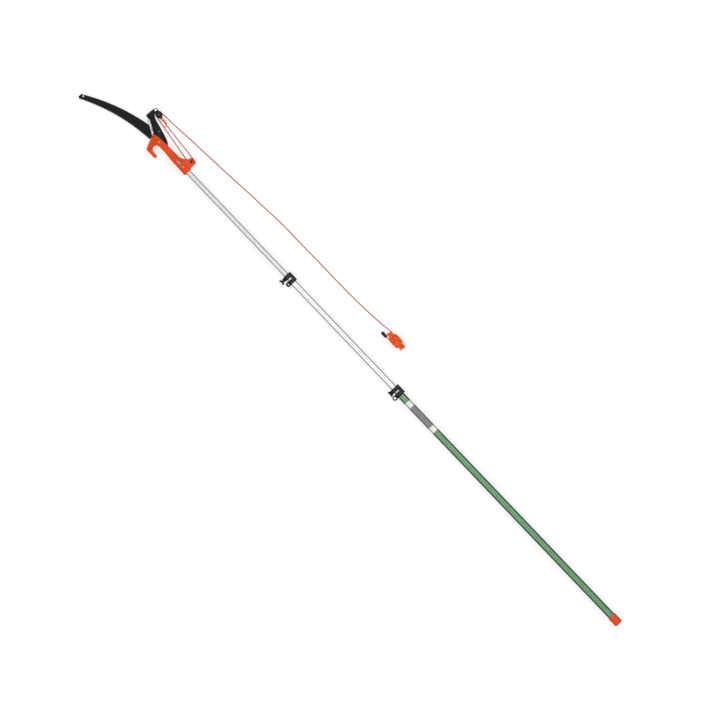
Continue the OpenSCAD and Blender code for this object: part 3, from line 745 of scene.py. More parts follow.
def cad_copy(node: str, name: str, flat: float = 0.0) -> Object:
    """Copy a CAD node's mesh as a new piece and join its seams.

    Args:
        node: the CAD node.
        name: the new piece's name.
        flat: faces that meet at less than this become one, in degrees.

    Returns:
        The piece, in object mode and with no material.
    """
    mesh = cad_nodes()[node].data.copy()
    mesh.name = name
    mesh.materials.clear()
    piece = linked(name, mesh)
    edit(piece)
    bpy.ops.mesh.remove_doubles(threshold=WELD)
    bpy.ops.mesh.customdata_custom_splitnormals_clear()
    if flat:
        bpy.ops.mesh.dissolve_limited(angle_limit=math.radians(flat))
    bpy.ops.object.mode_set(mode="OBJECT")
    return piece


def turned(name: str, at: Vector, rings: Sequence[tuple[float, float]], sides: int) -> Object:
    """Turn a piece along X by drawing a disc out ring by ring.

    Args:
        name: the piece's name.
        at: centre of its first face, in metres.
        rings: distance along X and radius of each ring, in millimetres.
        sides: number of sides.

    Returns:
        The closed piece.
    """
    bpy.ops.object.select_all(action="DESELECT")
    first, radius = rings[0]
    bpy.ops.mesh.primitive_circle_add(
        vertices=sides, radius=radius * MM, fill_type="NGON",
        location=at + Vector((first * MM, 0, 0)), rotation=(0, math.pi / 2, 0),
    )
    piece = bpy.context.active_object
    piece.name = name
    piece.data.name = name
    bpy.ops.object.transform_apply(location=True, rotation=True, scale=True)
    edit(piece)
    for x, r in rings[1:]:
        bpy.ops.mesh.extrude_region_move(
            TRANSFORM_OT_translate={"value": ((x - first) * MM, 0, 0), "orient_type": "GLOBAL"}
        )
        bpy.ops.transform.resize(
            value=(1, r / radius, r / radius), orient_type="GLOBAL",
            center_override=at + Vector((x * MM, 0, 0)),
        )
        first, radius = x, r
    bpy.ops.mesh.select_all(action="SELECT")
    bpy.ops.mesh.normals_make_consistent(inside=False)
    bpy.ops.object.mode_set(mode="OBJECT")
    return piece


def dress(piece: Object, finish: Material) -> None:
    """Give a piece one material."""
    piece.data.materials.clear()
    piece.data.materials.append(finish)


def seat(piece: Object, finish: Material, body: str, slot: str, *nodes: str) -> Object:
    """Dress a piece, let it ride on its body and stand for its CAD nodes.

    Args:
        piece: the finished piece.
        finish: its material.
        body: the body that carries it.
        slot: the record's material slot; not used.
        nodes: the nodes that it stands for.

    Returns:
        The piece.
    """
    dress(piece, finish)
    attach(piece, body)
    if nodes:
        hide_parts(*nodes)
    LOG.info("%s: %d faces on %s", piece.name, len(piece.data.polygons), body)
    return piece


@dataclass
class Softener:
    """Copies a CAD node and rounds its edges, as casting or moulding leaves them, in metres and degrees."""

    width: float
    segments: int = 2
    angle: float = 33.0
    flat: float = 0.6
    smooth: float = 38.0

    def copy_of(self, node: str, name: str) -> Object:
        """Make the softened copy.

        Args:
            node: the CAD node.
            name: the new piece's name.

        Returns:
            The piece, with the crest of each edge marked for wear.
        """
        piece = cad_copy(node, name, self.flat)
        for _ in range(2):
            piece.data.materials.append(bpy.data.materials.new("edge_mark"))
        bevel = piece.modifiers.new("round", "BEVEL")
        bevel.width = self.width
        bevel.segments = self.segments
        bevel.limit_method = "ANGLE"
        bevel.angle_limit = math.radians(self.angle)
        bevel.material = 1
        bevel.miter_outer = "MITER_ARC"
        bpy.ops.object.modifier_apply(modifier=bevel.name)
        self._mark(piece)
        bpy.ops.object.shade_smooth_by_angle(angle=math.radians(self.smooth))
        return piece

    def _mark(self, piece: Object) -> None:
        """Mark the points that only rounded faces meet, and clear the stand-in materials.

        Args:
            piece: the softened piece.
        """
        mesh = piece.data
        crest = [1.0] * len(mesh.vertices)
        for face in mesh.polygons:
            if face.material_index == 0:
                for corner in face.vertices:
                    crest[corner] = 0.0
        mesh.attributes.new(EDGE, "FLOAT", "POINT").data.foreach_set("value", crest)
        mesh.polygons.foreach_set("material_index", [0] * len(mesh.polygons))
        mesh.materials.clear()


@dataclass(frozen=True)
class HeadPlan:
    """Places that the head's cord, spring and blades share, in millimetres from its mouth."""

    mouth: float = 2340.0
    lower_axle: Vector = Vector((20.0, -36.0, 0.0))
    block_pin: Vector = Vector((253.5, -73.0, 0.0))
    block_len: float = 21.5
    pitch_r: float = 11.2
    knot_from_pin: float = 46.0
    knot_r: float = 4.5
    head_post: Vector = Vector((186.0, 1.0, 17.0))
    lever_post: Vector = Vector((256.0, -35.0, 17.0))
    saw_root: tuple[float, float] = (192.0, 18.0)
    saw_point: tuple[float, float] = (484.0, 104.0)
    saw_sag: float = 16.0
    saw_teeth: int = 56

    def at(self, point: Sequence[float]) -> Vector:
        """A place on the head as a point of the model, in metres."""
        return Vector((point[0] + self.mouth, point[1], point[2])) * MM

    def all_at(self, points: Sequence[Sequence[float]]) -> Route:
        """Places on the head as points of the model."""
        return [self.at(p) for p in points]

    def tackle_way(self) -> Vector:
        """Heading from the block's pin to the lower axle."""
        return (self.lower_axle - self.block_pin).normalized()

    def tackle_turn(self) -> float:
        """That heading as an angle in degrees."""
        way = self.tackle_way()
        return math.degrees(math.atan2(way.y, way.x))

    def upper_axle(self) -> Vector:
        """Centre of the upper pulley."""
        return self.on_tackle(self.block_len)

    def on_tackle(self, distance: float) -> Vector:
        """A place on the tackle's line, that far from the block's pin."""
        return self.block_pin + distance * self.tackle_way()


@dataclass
class CordWork:
    """The pull cord in millimetres: tackle, lead, free run, hank with its binding, and grip."""

    plan: HeadPlan
    finish: Material
    clean_finish: Material
    grip_finish: Material
    radius: float = 2.0
    rings: int = 40
    strand_keep: tuple[float, float] = (0.515, 0.580)
    lead_keep: float = 0.696
    lead_level: float = 4.0
    hank_at: Vector = Vector((-995.0, -127.0, -2.116))
    hank_r: float = 8.5
    hank_run: float = 31.0
    hank_step: float = 4.5
    hank_first: int = 1
    hank_last: int = 10
    straight: float = 0.3
    ragged: float = 1.6
    ragged_phase: float = 2.4
    tail_from: float = 0.15
    tail_out: float = 0.6
    tail_gap: float = 1.0
    tail_steps: int = 16
    tie_turns: int = 9
    tie_pitch: float = 4.7
    tie_bend: float = 8.0
    tie_belly: float = 1.6
    tie_off: float = 5.384
    tie_stray: float = 0.2
    stray_phase: float = 2.3
    tie_tucks: tuple[float, ...] = (8.0, 6.0, 4.0, 2.0)
    hitches: int = 2
    hitch_steps: int = 8
    hitch_from: float = 45.4
    hitch_long: float = 5.2
    hitch_r: float = 3.9
    hitch_cord_r: float = 1.8
    grip_at: Vector = Vector((-961.0, -111.0, -11.5))
    grip_r: float = 6.5
    grip_len: float = 26.0
    grip_sides: int = 40
    grip_ribs: int = 9
    grip_rim: Pairs = ((0.0, 2.4), (0.35, 1.2), (1.1, 0.35), (2.2, 0.0))
    grip_groove: Pairs = ((0.45, 0.0), (0.56, 0.75), (0.89, 0.75), (1.0, 0.0))
    grip_smooth: float = 40.0
    bore_slack: float = 0.1
    bore_deep: float = 0.6
    lead_course: Places = (
        (200, -83, -1), (160, -85, -4), (120, -88, -9), (80, -91, -13.5), (40, -93.5, -16),
        (0, -96, -16), (-40, -98.5, -16), (-90, -101.5, -16), (-130, -104, -16),
    )
    floor_course: Places = (
        (-130, -104, -16), (-180, -108, -16), (-220, -111, -16), (-260, -113, -16),
        (-300, -115.5, -16), (-340, -118.5, -16), (-380, -120.5, -16), (-420, -121, -16),
        (-500, -121, -16), (-600, -122, -16), (-700, -122, -16), (-790, -124, -16),
        (-840, -126.5, -16), (-880, -129.2, -16), (-904, -131.2, -14.7), (-920, -132.9, -9.8),
        (-936, -134.8, -2.6),
    )
    hank_rise: Places = ((11, 1.1, -2.6), (4, 0.2, -0.3), (0, 0, 0))
    knot_loop: Places = (
        (53, 0, 0), (49, 0, 0.6), (45.5, 0, 3.4), (42, 0, 6.8), (38.5, 0, 7.0), (36.6, 0, 4.2), (36.4, 0, 0),
        (36.6, 0, -4.2), (38.5, 0, -7.0), (42, 0, -6.8), (45, 0, -5.2),
    )
    knot_tail: Places = (
        (200, -69, 4.4), (194, -69.5, 4.6), (188, -67, 4.5), (183.5, -61, 4.4), (181, -55, 4.4),
        (180, -50.5, 4.5),
    )

    def build(self) -> None:
        """Make every piece of the cord."""
        grip = self._grip()
        tie = self._tie()
        self._pull_cord(grip, tie)
        self._lead()
        self._tackle()
        self._knot()

    def _run(self, name: str, route: Sequence[Vector], ends: EndForm = EndForm.ROUND) -> Run:
        """A run of cord through places on the head."""
        return Run(name, self.plan.all_at(route), self.radius * MM, ends)

    def _declare(self, piece: Object, run: Run, far_end: str, *others: Object) -> None:
        """Work out a run's first point, length, width and points, and keep none of them.

        Args:
            piece: the piece; not used.
            run: the run that it was built from.
            far_end: what its far end meets; not used.
            others: the pieces that hang on it; not used.
        """
        tuple(run.route[0])
        run.length()
        2 * self.radius * MM
        [tuple(p) for p in run.route]

    def _side(self, tau: float) -> float:
        """Place across the hank after a number of half turns."""
        return self.hank_step * (tau - (self.hank_first + self.hank_last) / 2) / 2

    def _reach(self, end: int) -> float:
        """Half length of the runs at one of the hank's ends, a little uneven from loop to loop."""
        return self.hank_run + self.ragged * math.sin(self.ragged_phase * end)

    def _hank_place(self, tau: float) -> Vector:
        """Place on the hank after a number of half turns, from its own middle.

        Args:
            tau: half turns; whole numbers are the middles of the runs, even ones at the bottom.

        Returns:
            The place in millimetres.
        """
        k = math.floor(tau + 0.5)
        f = tau - k
        side = 1 if k % 2 == 0 else -1
        reach = self._reach(k if f > 0 else k - 1)
        if abs(f) <= self.straight:
            return Vector((side * f / self.straight * reach, self._side(tau), -side * self.hank_r))
        turn = (abs(f) - self.straight) / (0.5 - self.straight) * math.pi / 2
        x = side * math.copysign(1, f) * (reach + self.hank_r * math.sin(turn))
        return Vector((x, self._side(tau), -side * self.hank_r * math.cos(turn)))

    def _hank(self) -> Route:
        """The hank's turns and its tail into the grip, from its own middle.

        Returns:
            The route in millimetres.
        """
        first, last = self.hank_first - self.straight, self.hank_last + self.tail_from
        count = round((last - first) * self.rings)
        turns = [self._hank_place(first + (last - first) * i / count) for i in range(count + 1)]
        face = self.grip_at - self.hank_at
        out = Vector((self.tail_out * self.hank_run, self._side(last), -self.hank_r))
        over = face - Vector((self.tail_gap, 0, 0)) - out
        tail: Route = []
        for i in range(self.tail_steps + 1):
            share = i / self.tail_steps
            eased = (1 - math.cos(math.pi * share)) / 2
            tail.append(out + Vector((over.x * share, over.y * eased, over.z * eased)))
        lead_in = turns[0] + Vector((2 * self.radius, 0, 0))
        return [lead_in, *turns, *tail, face, face + Vector((self.grip_len / 2, 0, 0))]

    def _pull_cord(self, grip: Object, tie: Object) -> None:
        """The free run along the floor and the hank, as one length into the grip.

        Args:
            grip: the grip on the cord's end.
            tie: the binding round the hank.
        """
        hank = [self.hank_at + p for p in self._hank()]
        course = [*(Vector(p) for p in self.floor_course), *(hank[0] + Vector(p) for p in self.hank_rise)]
        run = self._run("pull_cord", [*spline(course, step=4.0)[:-1], *hank], EndForm.FLAT)
        piece = seat(run.build(), self.finish, "head", "cord", "free_cord", "cord_hank")
        self._declare(piece, run, "fitting", grip, tie)

    def _tie(self) -> Object:
        """Cord bound round the middle of the hank, with both ends tucked through its loops.

        Returns:
            The binding.
        """
        half_wide = self._side(self.hank_last + self.straight) + self.tie_off - self.tie_bend
        half_high = self.hank_r + self.tie_off - self.tie_bend
        last = self.tie_turns * self.rings
        route: Route = []
        for i in range(-self.rings // 4, last + self.rings // 4):
            a = TAU * (i + 0.5) / self.rings
            sy = 1 if i < 0 or i >= last or math.cos(a) > 0 else -1
            sz = 1 if i < 0 or (i < last and math.sin(a) > 0) else -1
            share = 2 * i / last - 1
            belly = self.tie_belly * max(0.0, 1 - share * share)
            stray = self.tie_stray * math.sin(self.stray_phase * a)
            x = self.tie_pitch * last / self.rings * share / 2 + stray
            y = sy * (half_wide + belly) + self.tie_bend * math.cos(a)
            z = sz * half_high + max(0, sz) * belly + self.tie_bend * math.sin(a)
            route.append(Vector((x, y, z)))
        inward = [Vector((0, -k, 0)) for k in self.tie_tucks]
        route = [*(route[0] + p for p in inward), *route, *(route[-1] + p for p in reversed(inward))]
        run = self._run("hank_binding", [self.hank_at + p for p in route])
        return seat(run.build(), self.clean_finish, "head", "cord", "hank_tie")

    def _lead(self) -> None:
        """The cord from the upper pulley down to the floor, built in one shape; the real cord shortens as the
        lever swings.
        """
        plan = self.plan
        top = plan.upper_axle() + Vector((0, -plan.pitch_r, 0))
        level_off = top - Vector((self.lead_level, 0, 0))
        course = [top, level_off, *(Vector(p) for p in self.lead_course)]
        run = self._run("lead_cord_run", spline(course, step=5.0))
        piece = seat(run.build(), self.finish, "lead", "cord", "lead_cord")
        foot, head = run.route[-1], run.route[0]
        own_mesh(piece)
        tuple(foot)
        self._declare(piece, run, "object")

    def _tackle(self) -> None:
        """The two strands between the pulleys and the turns of cord on the wheels."""
        plan = self.plan
        low, high = plan.lower_axle, plan.upper_axle()
        turn = plan.tackle_turn() - 90
        knot = plan.on_tackle(plan.knot_from_pin + plan.knot_r)
        reach = knot - low
        first = math.degrees(math.atan2(reach.y, reach.x) - math.acos(plan.pitch_r / reach.length))

        def rim(axle: Vector, degrees: float) -> Vector:
            """A place on a wheel where the cord lies."""
            return arc(axle, plan.pitch_r, degrees, degrees, 1)[0]

        ends = ((knot, rim(low, first)), (rim(low, turn), rim(high, turn)))
        for letter, (one, two), keep in zip("ab", ends, self.strand_keep):
            steps = [one.lerp(two, i / self.rings) for i in range(self.rings + 1)]
            run = self._run(f"tackle_strand_{letter}", steps)
            piece = seat(run.build(), self.finish, "tackle", "cord", "tackle_strands")
            plan.tackle_way()
            plan.at(low)
            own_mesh(piece)
        rows = (
            ("lower_wheel_turn", low, first, turn - 360, "tackle", "tackle_strands"),
            ("upper_wheel_turn", high, turn, -90, "block", "upper_cord_turn"),
        )
        for name, axle, start, end, body, node in rows:
            run = self._run(name, arc(axle, plan.pitch_r, start, end, self.rings))
            seat(run.build(), self.finish, body, "cord", node)

    def _knot(self) -> None:
        """Two hitches round the standing cord, after a loop through the block's strap, with a tail."""
        plan = self.plan
        way = plan.tackle_way()
        up = Vector((0, 0, 1))
        across = up.cross(way)

        def spot(along: float, out: float, height: float) -> Vector:
            """A place from the tackle's line at that distance along it."""
            return plan.on_tackle(along) + across * out + up * height

        path = [spot(*p) for p in self.knot_loop]
        count = self.hitches * self.hitch_steps
        for i in range(1, count + 1):
            a = TAU * i / self.hitch_steps
            out, height = self.hitch_r * math.sin(math.pi + a), -self.hitch_r * math.cos(a)
            path.append(spot(self.hitch_from + self.hitch_long * i / count, out, height))
        path += [Vector(p) for p in self.knot_tail]
        run = self._run("becket_hitch", spline(path, step=0.9))
        run.radius = self.hitch_cord_r * MM
        seat(run.build(), self.clean_finish, "block", "cord", "becket_knot")

    def _grip(self) -> Object:
        """Ribbed pull grip, drawn out ring by ring from a disc and drilled for the cord.

        Returns:
            The grip.
        """
        at = self.plan.at(self.grip_at)
        r, long = self.grip_r, self.grip_len
        shoulder = self.grip_rim[-1][0]
        pitch = (long - 2 * shoulder) / self.grip_ribs
        rings = [(x, r - cut) for x, cut in self.grip_rim]
        for i in range(self.grip_ribs):
            start = shoulder + i * (long - 2 * shoulder) / self.grip_ribs
            rings += [(start + pitch * share, r - cut) for share, cut in self.grip_groove]
        rings += [(long - x, r - cut) for x, cut in self.grip_rim[-2::-1]]
        piece = turned("ribbed_pull_grip", at, rings, self.grip_sides)
        edit(piece)
        bpy.ops.mesh.select_all(action="DESELECT")
        bpy.ops.object.mode_set(mode="OBJECT")
        for face in piece.data.polygons:
            face.select = face.center.x < at.x + TOUCH and len(face.vertices) > 4
        bpy.ops.object.mode_set(mode="EDIT")
        bpy.ops.mesh.inset(thickness=(rings[0][1] - (self.radius + self.bore_slack)) * MM)
        bpy.ops.mesh.extrude_region_move(
            TRANSFORM_OT_translate={"value": (self.bore_deep * long * MM, 0, 0), "orient_type": "GLOBAL"}
        )
        face_out(self.grip_smooth)
        return seat(piece, self.grip_finish, "head", "black_plastic", "pull_grip")


@dataclass
class SpringWork:
    """The return spring between the head's post and the lever's, in millimetres."""

    plan: HeadPlan
    finish: Material
    wire: float = 1.4
    coil_r: float = 4.3
    hook_r: float = 2.75
    hook_steps: int = 16
    hook_mouth: float = 300.0
    hook_neck: float = 90.0
    hook_tip: float = -120.0
    curls: int = 20
    lead: float = 10.0
    rings: int = 18
    ease: Vector = Vector((5.0, 3.2, 0.0))
    wire_sides: int = 10
    follows_head_to: float = 1.0
    follows_lever_from: float = 0.42

    def build(self) -> None:
        """Wind the spring between the head and the cutter."""
        plan = self.plan
        span = plan.lever_post - plan.head_post
        long = span.length
        far = Vector((long, 0, 0))
        count = self.curls * self.rings
        hook = arc(Vector((0, 0, 0)), self.hook_r, self.hook_mouth, self.hook_neck, self.hook_steps)
        far_hook = arc(far, self.hook_r, self.hook_neck, self.hook_tip, self.hook_steps)
        coil = [
            Vector((
                self.lead + (long - 2 * self.lead) * i / count,
                self.coil_r * math.cos(TAU * i / self.rings),
                self.coil_r * math.sin(TAU * i / self.rings),
            ))
            for i in range(count + 1)
        ]
        enter = spline([hook[-2], hook[-1], self.ease, coil[0], coil[1]], step=0.7)
        tip = far + Vector((0, self.hook_r, 0))
        leave = spline([coil[-2], coil[-1], Vector((long - self.ease.x, self.ease.y, 0)), tip], step=0.7)
        route = [*hook[:-1], *enter[2:-1], *coil[1:-1], *leave[2:-1], *far_hook]
        turn = Matrix.Rotation(math.atan2(span.y, span.x), 3, "Z")
        laid = [plan.head_post + turn @ p for p in route]
        run = Run("return_spring_wire", plan.all_at(laid), self.wire / 2 * MM, sides=self.wire_sides)
        piece = run.build()
        dress(piece, self.finish)
        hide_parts("return_spring")
        way = span.normalized()
        plan.at(plan.head_post + way * self.follows_head_to)
        plan.at(plan.head_post + way * self.follows_lever_from * long)
        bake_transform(piece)
        LOG.info("%s: %d faces between head and cutter", piece.name, len(piece.data.polygons))


@dataclass
class SawWork:
    """The saw, with its teeth ground to a point from alternate sides, in millimetres."""

    plan: HeadPlan
    finish: Material
    middle: float = -10.8
    ground: float = 1.1
    least_height: float = 2.6
    smooth: float = 20.0

    def build(self) -> None:
        """Copy the CAD saw and grind its teeth."""
        piece = cad_copy("saw_blade", "ground_saw")
        for side in (1, -1):
            self._grind(piece, side)
        edit(piece)
        face_out(self.smooth)
        seat(piece, self.finish, "head", "black_steel", "saw_blade")

    def _tooth(self, place: Vector) -> int | None:
        """Number of the tooth whose point lies there.

        Args:
            place: a corner of the saw, in metres.

        Returns:
            The tooth's number, or nothing for a corner elsewhere.
        """
        plan = self.plan
        root = plan.at((*plan.saw_root, 0)).xy
        way = plan.at((*plan.saw_point, 0)).xy - root
        share = (place.xy - root).dot(way) / way.length_squared
        over = Vector((-way.y, way.x)).normalized().dot(place.xy - root) / MM
        height = over + 4 * plan.saw_sag * share * (1 - share)
        if 0 < share < 1 and height > self.least_height:
            return math.floor(share * plan.saw_teeth)
        return None

    def _grind(self, piece: Object, side: int) -> None:
        """Push the points of every other tooth towards one face.

        Args:
            piece: the saw, in object mode.
            side: 1 grinds the upper face of the even teeth, -1 the lower face of the odd ones.
        """

        def wanted(place: Vector) -> bool:
            """Whether a corner is a point of these teeth, on this face."""
            tooth = self._tooth(place)
            return tooth is not None and (place.z / MM - self.middle) * side > 0 and tooth % 2 == (side < 0)

        nudge(piece, Vector((0, 0, -side * self.ground * MM)), wanted)


@dataclass
class MouldedWork:
    """Castings, mouldings and pressings in millimetres: softened copies of their CAD nodes."""

    casting: Material
    cap: Material
    moulding: Material
    pressing: Material
    skirt_from: float = 22.0
    skirt_more: float = 14.0
    wing_screws: Mapping[str, tuple[float, float]] = field(default_factory=lambda: {
        "lower_clamp_wing_screw": (1214.5, 35.0), "upper_clamp_wing_screw": (1798.5, 0.0),
    })
    wing_middle: float = 33.5
    wing_from: float = 6.0
    wing_in: float = 1.5
    wing_down: float = 5.5
    pit: tuple[float, float] = (2501.0, 41.5)
    pit_reach: float = 3.1
    pit_back: float = 4.8
    pit_middle: float = 7.65
    pit_rise: float = 2.0

    def build(self) -> None:
        """Soften each piece by what its making leaves."""
        rows = (
            ("head_casting", "cast_head", 0.9, self.casting, "head", "orange_casting"),
            ("end_cap", "moulded_butt_cap", 0.8, self.cap, "outer", "orange_plastic"),
            ("lower_clamp_collar", "lower_collar", 0.8, self.moulding, "outer", "black_plastic"),
            ("upper_clamp_collar", "upper_collar", 0.8, self.moulding, "middle", "black_plastic"),
            ("lower_clamp_wing_screw", "lower_wing_knob", 0.9, self.moulding, "lower_screw", "black_plastic"),
            ("upper_clamp_wing_screw", "upper_wing_knob", 0.9, self.moulding, "upper_screw", "black_plastic"),
            ("lever", "pressed_lever", 0.45, self.pressing, "cutter", "black_steel"),
            ("pulley_block", "pressed_block", 0.35, self.pressing, "block", "black_steel"),
        )
        for node, name, width, finish, body, slot in rows:
            piece = Softener(width * MM).copy_of(node, name)
            if node == "head_casting":
                self._close_pit(piece)
            if node == "end_cap":
                more = Vector((self.skirt_more * MM, 0, 0))
                nudge(piece, more, lambda place: place.x > self.skirt_from * MM)
            if node in self.wing_screws:
                self._fill_wings(piece, *self.wing_screws[node])
            seat(piece, finish, body, slot, node)

    def _close_pit(self, piece: Object) -> None:
        """Close the small hole in the hook's corner from behind, which leaves a pit in its face.

        Args:
            piece: the casting.
        """

        def near(place: Vector) -> bool:
            """Whether a corner belongs to the hole."""
            return (place.xy / MM - Vector(self.pit)).length < self.pit_reach

        back = self.pit_back * MM + TOUCH
        gather(piece, Vector((0, 0, 0)), lambda place: near(place) and place.z < back)
        gather(
            piece, Vector((0, 0, self.pit_rise * MM)),
            lambda place: near(place) and back < place.z < self.pit_middle * MM,
        )

    def _fill_wings(self, piece: Object, screw_x: float, tilt: float) -> None:
        """Draw the undersides of both wings down towards the boss, so they taper from a full tip.

        Args:
            piece: the wing screw.
            screw_x: place of its axis along the pole, in millimetres.
            tilt: how far the axis leans up from the hook's side, in degrees.
        """
        way = Vector((0, math.cos(math.radians(tilt)), math.sin(math.radians(tilt))))
        for side in (1, -1):

            def wanted(place: Vector) -> bool:
                """Whether a corner is on the underside of this wing's tip."""
                out = (place.x / MM - screw_x) * side
                return out > self.wing_from and place.dot(way) / MM < self.wing_middle

            nudge(piece, (Vector((-side * self.wing_in, 0, 0)) - way * self.wing_down) * MM, wanted)


@dataclass
class CadWork:
    """Finishes for the CAD nodes that show as they are."""

    finishes: Mapping[str, Material]
    nodes: Mapping[str, str] = field(default_factory=lambda: {
        # the inner tube's finish is the bright tube's colour darkened with painted shade
        "outer_tube": "green_tube", "middle_tube": "bright_tube", "inner_tube": "satin_tube_painted_shade",
        "label_sleeve": "film", "middle_guide_bush": "bush", "inner_guide_bush": "bush",
        "lower_clamp_fixing_screw": "plated", "upper_clamp_fixing_screw": "plated",
        "head_bolt": "painted", "head_nut": "plated", "saw_screws": "plated", "pivot_bolt": "painted",
        "pivot_nut": "plated", "pivot_bush": "bronze", "cutting_blade": "blade", "blade_rivet": "rivet",
        "head_spring_post": "dark_pin", "lever_spring_post": "dark_pin", "lower_pulley": "wheel",
        "upper_pulley": "wheel", "lower_pulley_pin": "dark_pin", "upper_pulley_pin": "rivet",
        "block_pin": "plated",
    })

    def build(self) -> None:
        """Dress each node."""
        shown = cad_nodes()
        for node, finish in self.nodes.items():
            dress(shown[node], self.finishes[finish])
            LOG.info("%s: dressed in %s", node, finish)


@dataclass
class Studio:
    """Camera straight above the pole, soft light and a pale floor, in metres."""

    over: tuple[float, float] = (1.3858, 0.0200)
    across: tuple[float, float] = (-0.69041, -0.72344)
    view_width: float = 2.70
    lens: float = 200.0
    sensor: float = 36.0
    clip: float = 200.0
    middle: float = 1.4
    floor_z: float = -0.018
    floor_size: float = 60.0
    light_long: float = 5.0
    surround: float = 0.4

    def build(self, floor_finish: Material) -> None:
        """Make the camera, the lights and the floor.

        Args:
            floor_finish: the floor's material.
        """
        self._camera()
        self._lights()
        bpy.ops.object.select_all(action="DESELECT")
        bpy.ops.mesh.primitive_plane_add(size=self.floor_size, location=(self.middle, 0, self.floor_z))
        floor = bpy.context.active_object
        floor.name = "studio_floor"
        bpy.ops.object.transform_apply(location=True, rotation=True, scale=True)
        dress(floor, floor_finish)
        floor.visible_glossy = False

    def _camera(self) -> None:
        """Set the camera over the pole, turned as the photograph is."""
        lens = bpy.data.cameras.new("camera")
        lens.lens = self.lens
        lens.sensor_width = self.sensor
        lens.clip_end = self.clip
        camera = linked("camera", lens)
        right = Vector((*self.across, 0)).normalized()
        above = Vector((0, 0, 1))
        up = above.cross(right)
        turn = Matrix((right, up, above)).transposed().to_4x4()
        height = self.view_width * self.lens / self.sensor
        camera.matrix_world = Matrix.Translation((*self.over, height)) @ turn
        bpy.context.scene.camera = camera

    def _lights(self) -> None:
        """A wide soft light above each side of the pole, a strip over it, and an even surround."""
        rows = (
            ("cord_side_light", -2.6, 3.5, 2.2, 160.0),
            ("hook_side_light", 2.6, 3.5, 2.2, 160.0),
            ("overhead_strip", 0.0, 4.0, 0.5, 24.0),
        )
        aim = Vector((self.middle, 0, 0))
        for name, y, z, deep, power in rows:
            lamp = bpy.data.lights.new(name, "AREA")
            lamp.shape = "RECTANGLE"
            lamp.size, lamp.size_y, lamp.energy = self.light_long, deep, power
            light = linked(name, lamp)
            light.location = (self.middle, y, z)
            light.rotation_mode = "QUATERNION"
            light.rotation_quaternion = (aim - light.location).to_track_quat("-Z", "Y")
            light.visible_camera = False
        world = bpy.data.worlds.new("surround")
        bpy.context.scene.world = world
        world.use_nodes = True
        sky = world.node_tree.nodes["Background"]
        sky.inputs["Color"].default_value = (1.0, 1.0, 1.0, 1.0)
        sky.inputs["Strength"].default_value = self.surround
        bpy.context.scene.view_settings.view_transform = "Standard"


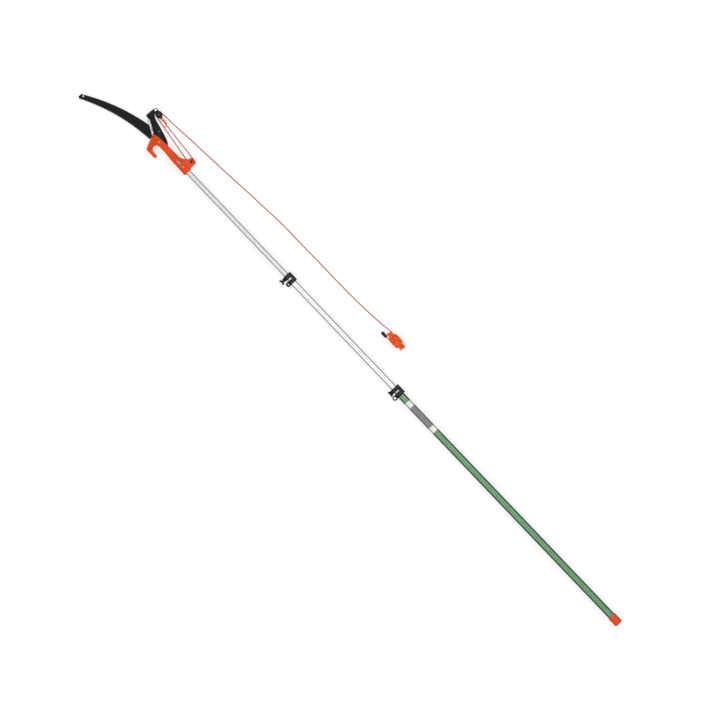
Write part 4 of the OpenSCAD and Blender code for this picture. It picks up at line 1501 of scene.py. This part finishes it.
def finishes(plan: HeadPlan) -> dict[str, Material]:
    """Make every material once.

    Args:
        plan: the head's places, for the saw's toothed edge.

    Returns:
        The materials by a short name.
    """
    orange, deep_orange = shade(189, 58, 4), shade(177, 51, 3)
    black, soft_black = shade(15, 15, 16), shade(10, 10, 11)
    # the cord's second, darker colour is painted shade for the grooves between its strands
    bright_cord, cord_groove_shade = shade(255, 102, 10), shade(138, 31, 4)
    root, point = plan.at((*plan.saw_root, 0)), plan.at((*plan.saw_point, 0))
    rows: dict[str, Finish] = {
        "green_tube": DrawnTube(
            "anodised_green", shade(76, 110, 79), shade(90, 126, 95), shade(138, 160, 140),
            rough=0.34, rubbed=0.3),
        "bright_tube": DrawnTube(
            "bright_drawn_tube", shade(176, 177, 179), shade(190, 191, 193), shade(160, 161, 164),
            rough=0.30, rubbed=0.3, metal=0.6),
        # painted shade: the inner tube's colours are the bright tube's darkened, standing in for the grey
        # shading it takes; it is also a little rougher
        "satin_tube_painted_shade": DrawnTube(
            "satin_drawn_tube_painted_shade", shade(162, 163, 165), shade(176, 177, 179), shade(148, 149, 152),
            rough=0.34, rubbed=0.3, metal=0.6),
        "casting": Coat(
            "orange_cast_paint", orange, deep_orange, shade(214, 112, 68),
            rough=0.36, grain=900, grain_depth=0.00004, gloss=0.15, coat=0.05),
        "cap": Coat(
            "orange_cap_plastic", shade(186, 54, 10), deep_orange, shade(210, 120, 84),
            rough=0.42, grain=1600, grain_depth=0.00003, gloss=0.2),
        "moulding": Coat(
            "black_moulding", black, soft_black, shade(58, 59, 61),
            rough=0.26, grain=1500, grain_depth=0.00002, gloss=0.18),
        "pressing": Coat(
            "black_pressed_steel", black, soft_black, shade(90, 92, 95),
            rough=0.30, grain=700, grain_depth=0.00002, gloss=0.12, wear=0.45),
        "wheel": Coat(
            "black_wheel_plastic", black, soft_black, shade(54, 55, 57),
            rough=0.34, grain=1300, grain_depth=0.00003, gloss=0.15),
        "bush": Coat(
            "pale_bush_plastic", shade(192, 190, 184), shade(178, 175, 168), shade(206, 205, 201),
            rough=0.42, grain=1200, grain_depth=0.00004, wear=0.5),
        "grip": Coat(
            "grip_plastic", shade(24, 28, 26), shade(17, 20, 19), shade(62, 66, 64),
            rough=0.40, grain=1500, grain_depth=0.00004, gloss=0.2),
        "painted": Coat(
            "orange_bolt_paint", shade(208, 122, 82), shade(186, 84, 44), shade(214, 150, 120),
            rough=0.34, grain=1200, grain_depth=0.00003, wear=0.5),
        "plated": Metal("plated_steel", shade(206, 207, 210), shade(164, 166, 169), rough=0.26),
        "dark_pin": Metal("blackened_steel", shade(52, 45, 42), shade(36, 32, 31), rough=0.4),
        "rivet": Metal("dulled_steel", shade(70, 73, 73), shade(48, 50, 50), rough=0.36),
        "spring": Metal(
            "spring_wire", shade(232, 233, 234), shade(196, 197, 198), rough=0.25, metal=0.65),
        "bronze": Metal("bronze_bush", shade(176, 134, 76), shade(130, 92, 52), rough=0.32),
        "blade": Coat(
            "coated_blade_steel", shade(20, 21, 22), soft_black, shade(90, 92, 95),
            rough=0.32, grain=700, grain_depth=0.00002, gloss=0.15, wear=0.45),
        "saw": SawSteel(
            "coated_saw_steel", (root.x, root.y), (point.x, point.y), plan.saw_sag * MM,
            shade(15, 16, 17), shade(94, 96, 100)),
        # the second and fourth colours are painted shade for the braid's grooves
        "cord": Braid(
            "orange_braid", bright_cord, cord_groove_shade, shade(160, 58, 8), shade(144, 38, 4), clean_from=0.86),
        "clean_cord": Braid(
            "clean_orange_braid", bright_cord, cord_groove_shade, bright_cord, cord_groove_shade, clean_from=0.0),
        "film": Film(
            "plain_label_film", start=0.997, end=1.149, band=0.024,
            dark=shade(88, 91, 86), pale=shade(176, 177, 170)),
        "floor": Floor("pale_floor", shade(124, 124, 124), shade(122, 122, 122), glow=3.65),
    }
    return {key: finish.make() for key, finish in rows.items()}


def main() -> None:
    """Load the frame, build each sub-assembly in order and note the sizes."""
    logging.basicConfig(level=logging.INFO, format="%(name)s: %(message)s")
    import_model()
    plan = HeadPlan()
    made = finishes(plan)
    Studio().build(made["floor"])
    CordWork(plan, made["cord"], made["clean_cord"], made["grip"]).build()
    SpringWork(plan, made["spring"]).build()
    SawWork(plan, made["saw"]).build()
    MouldedWork(made["casting"], made["cap"], made["moulding"], made["pressing"]).build()
    CadWork(made).build()


if __name__ == "__main__":
    main()
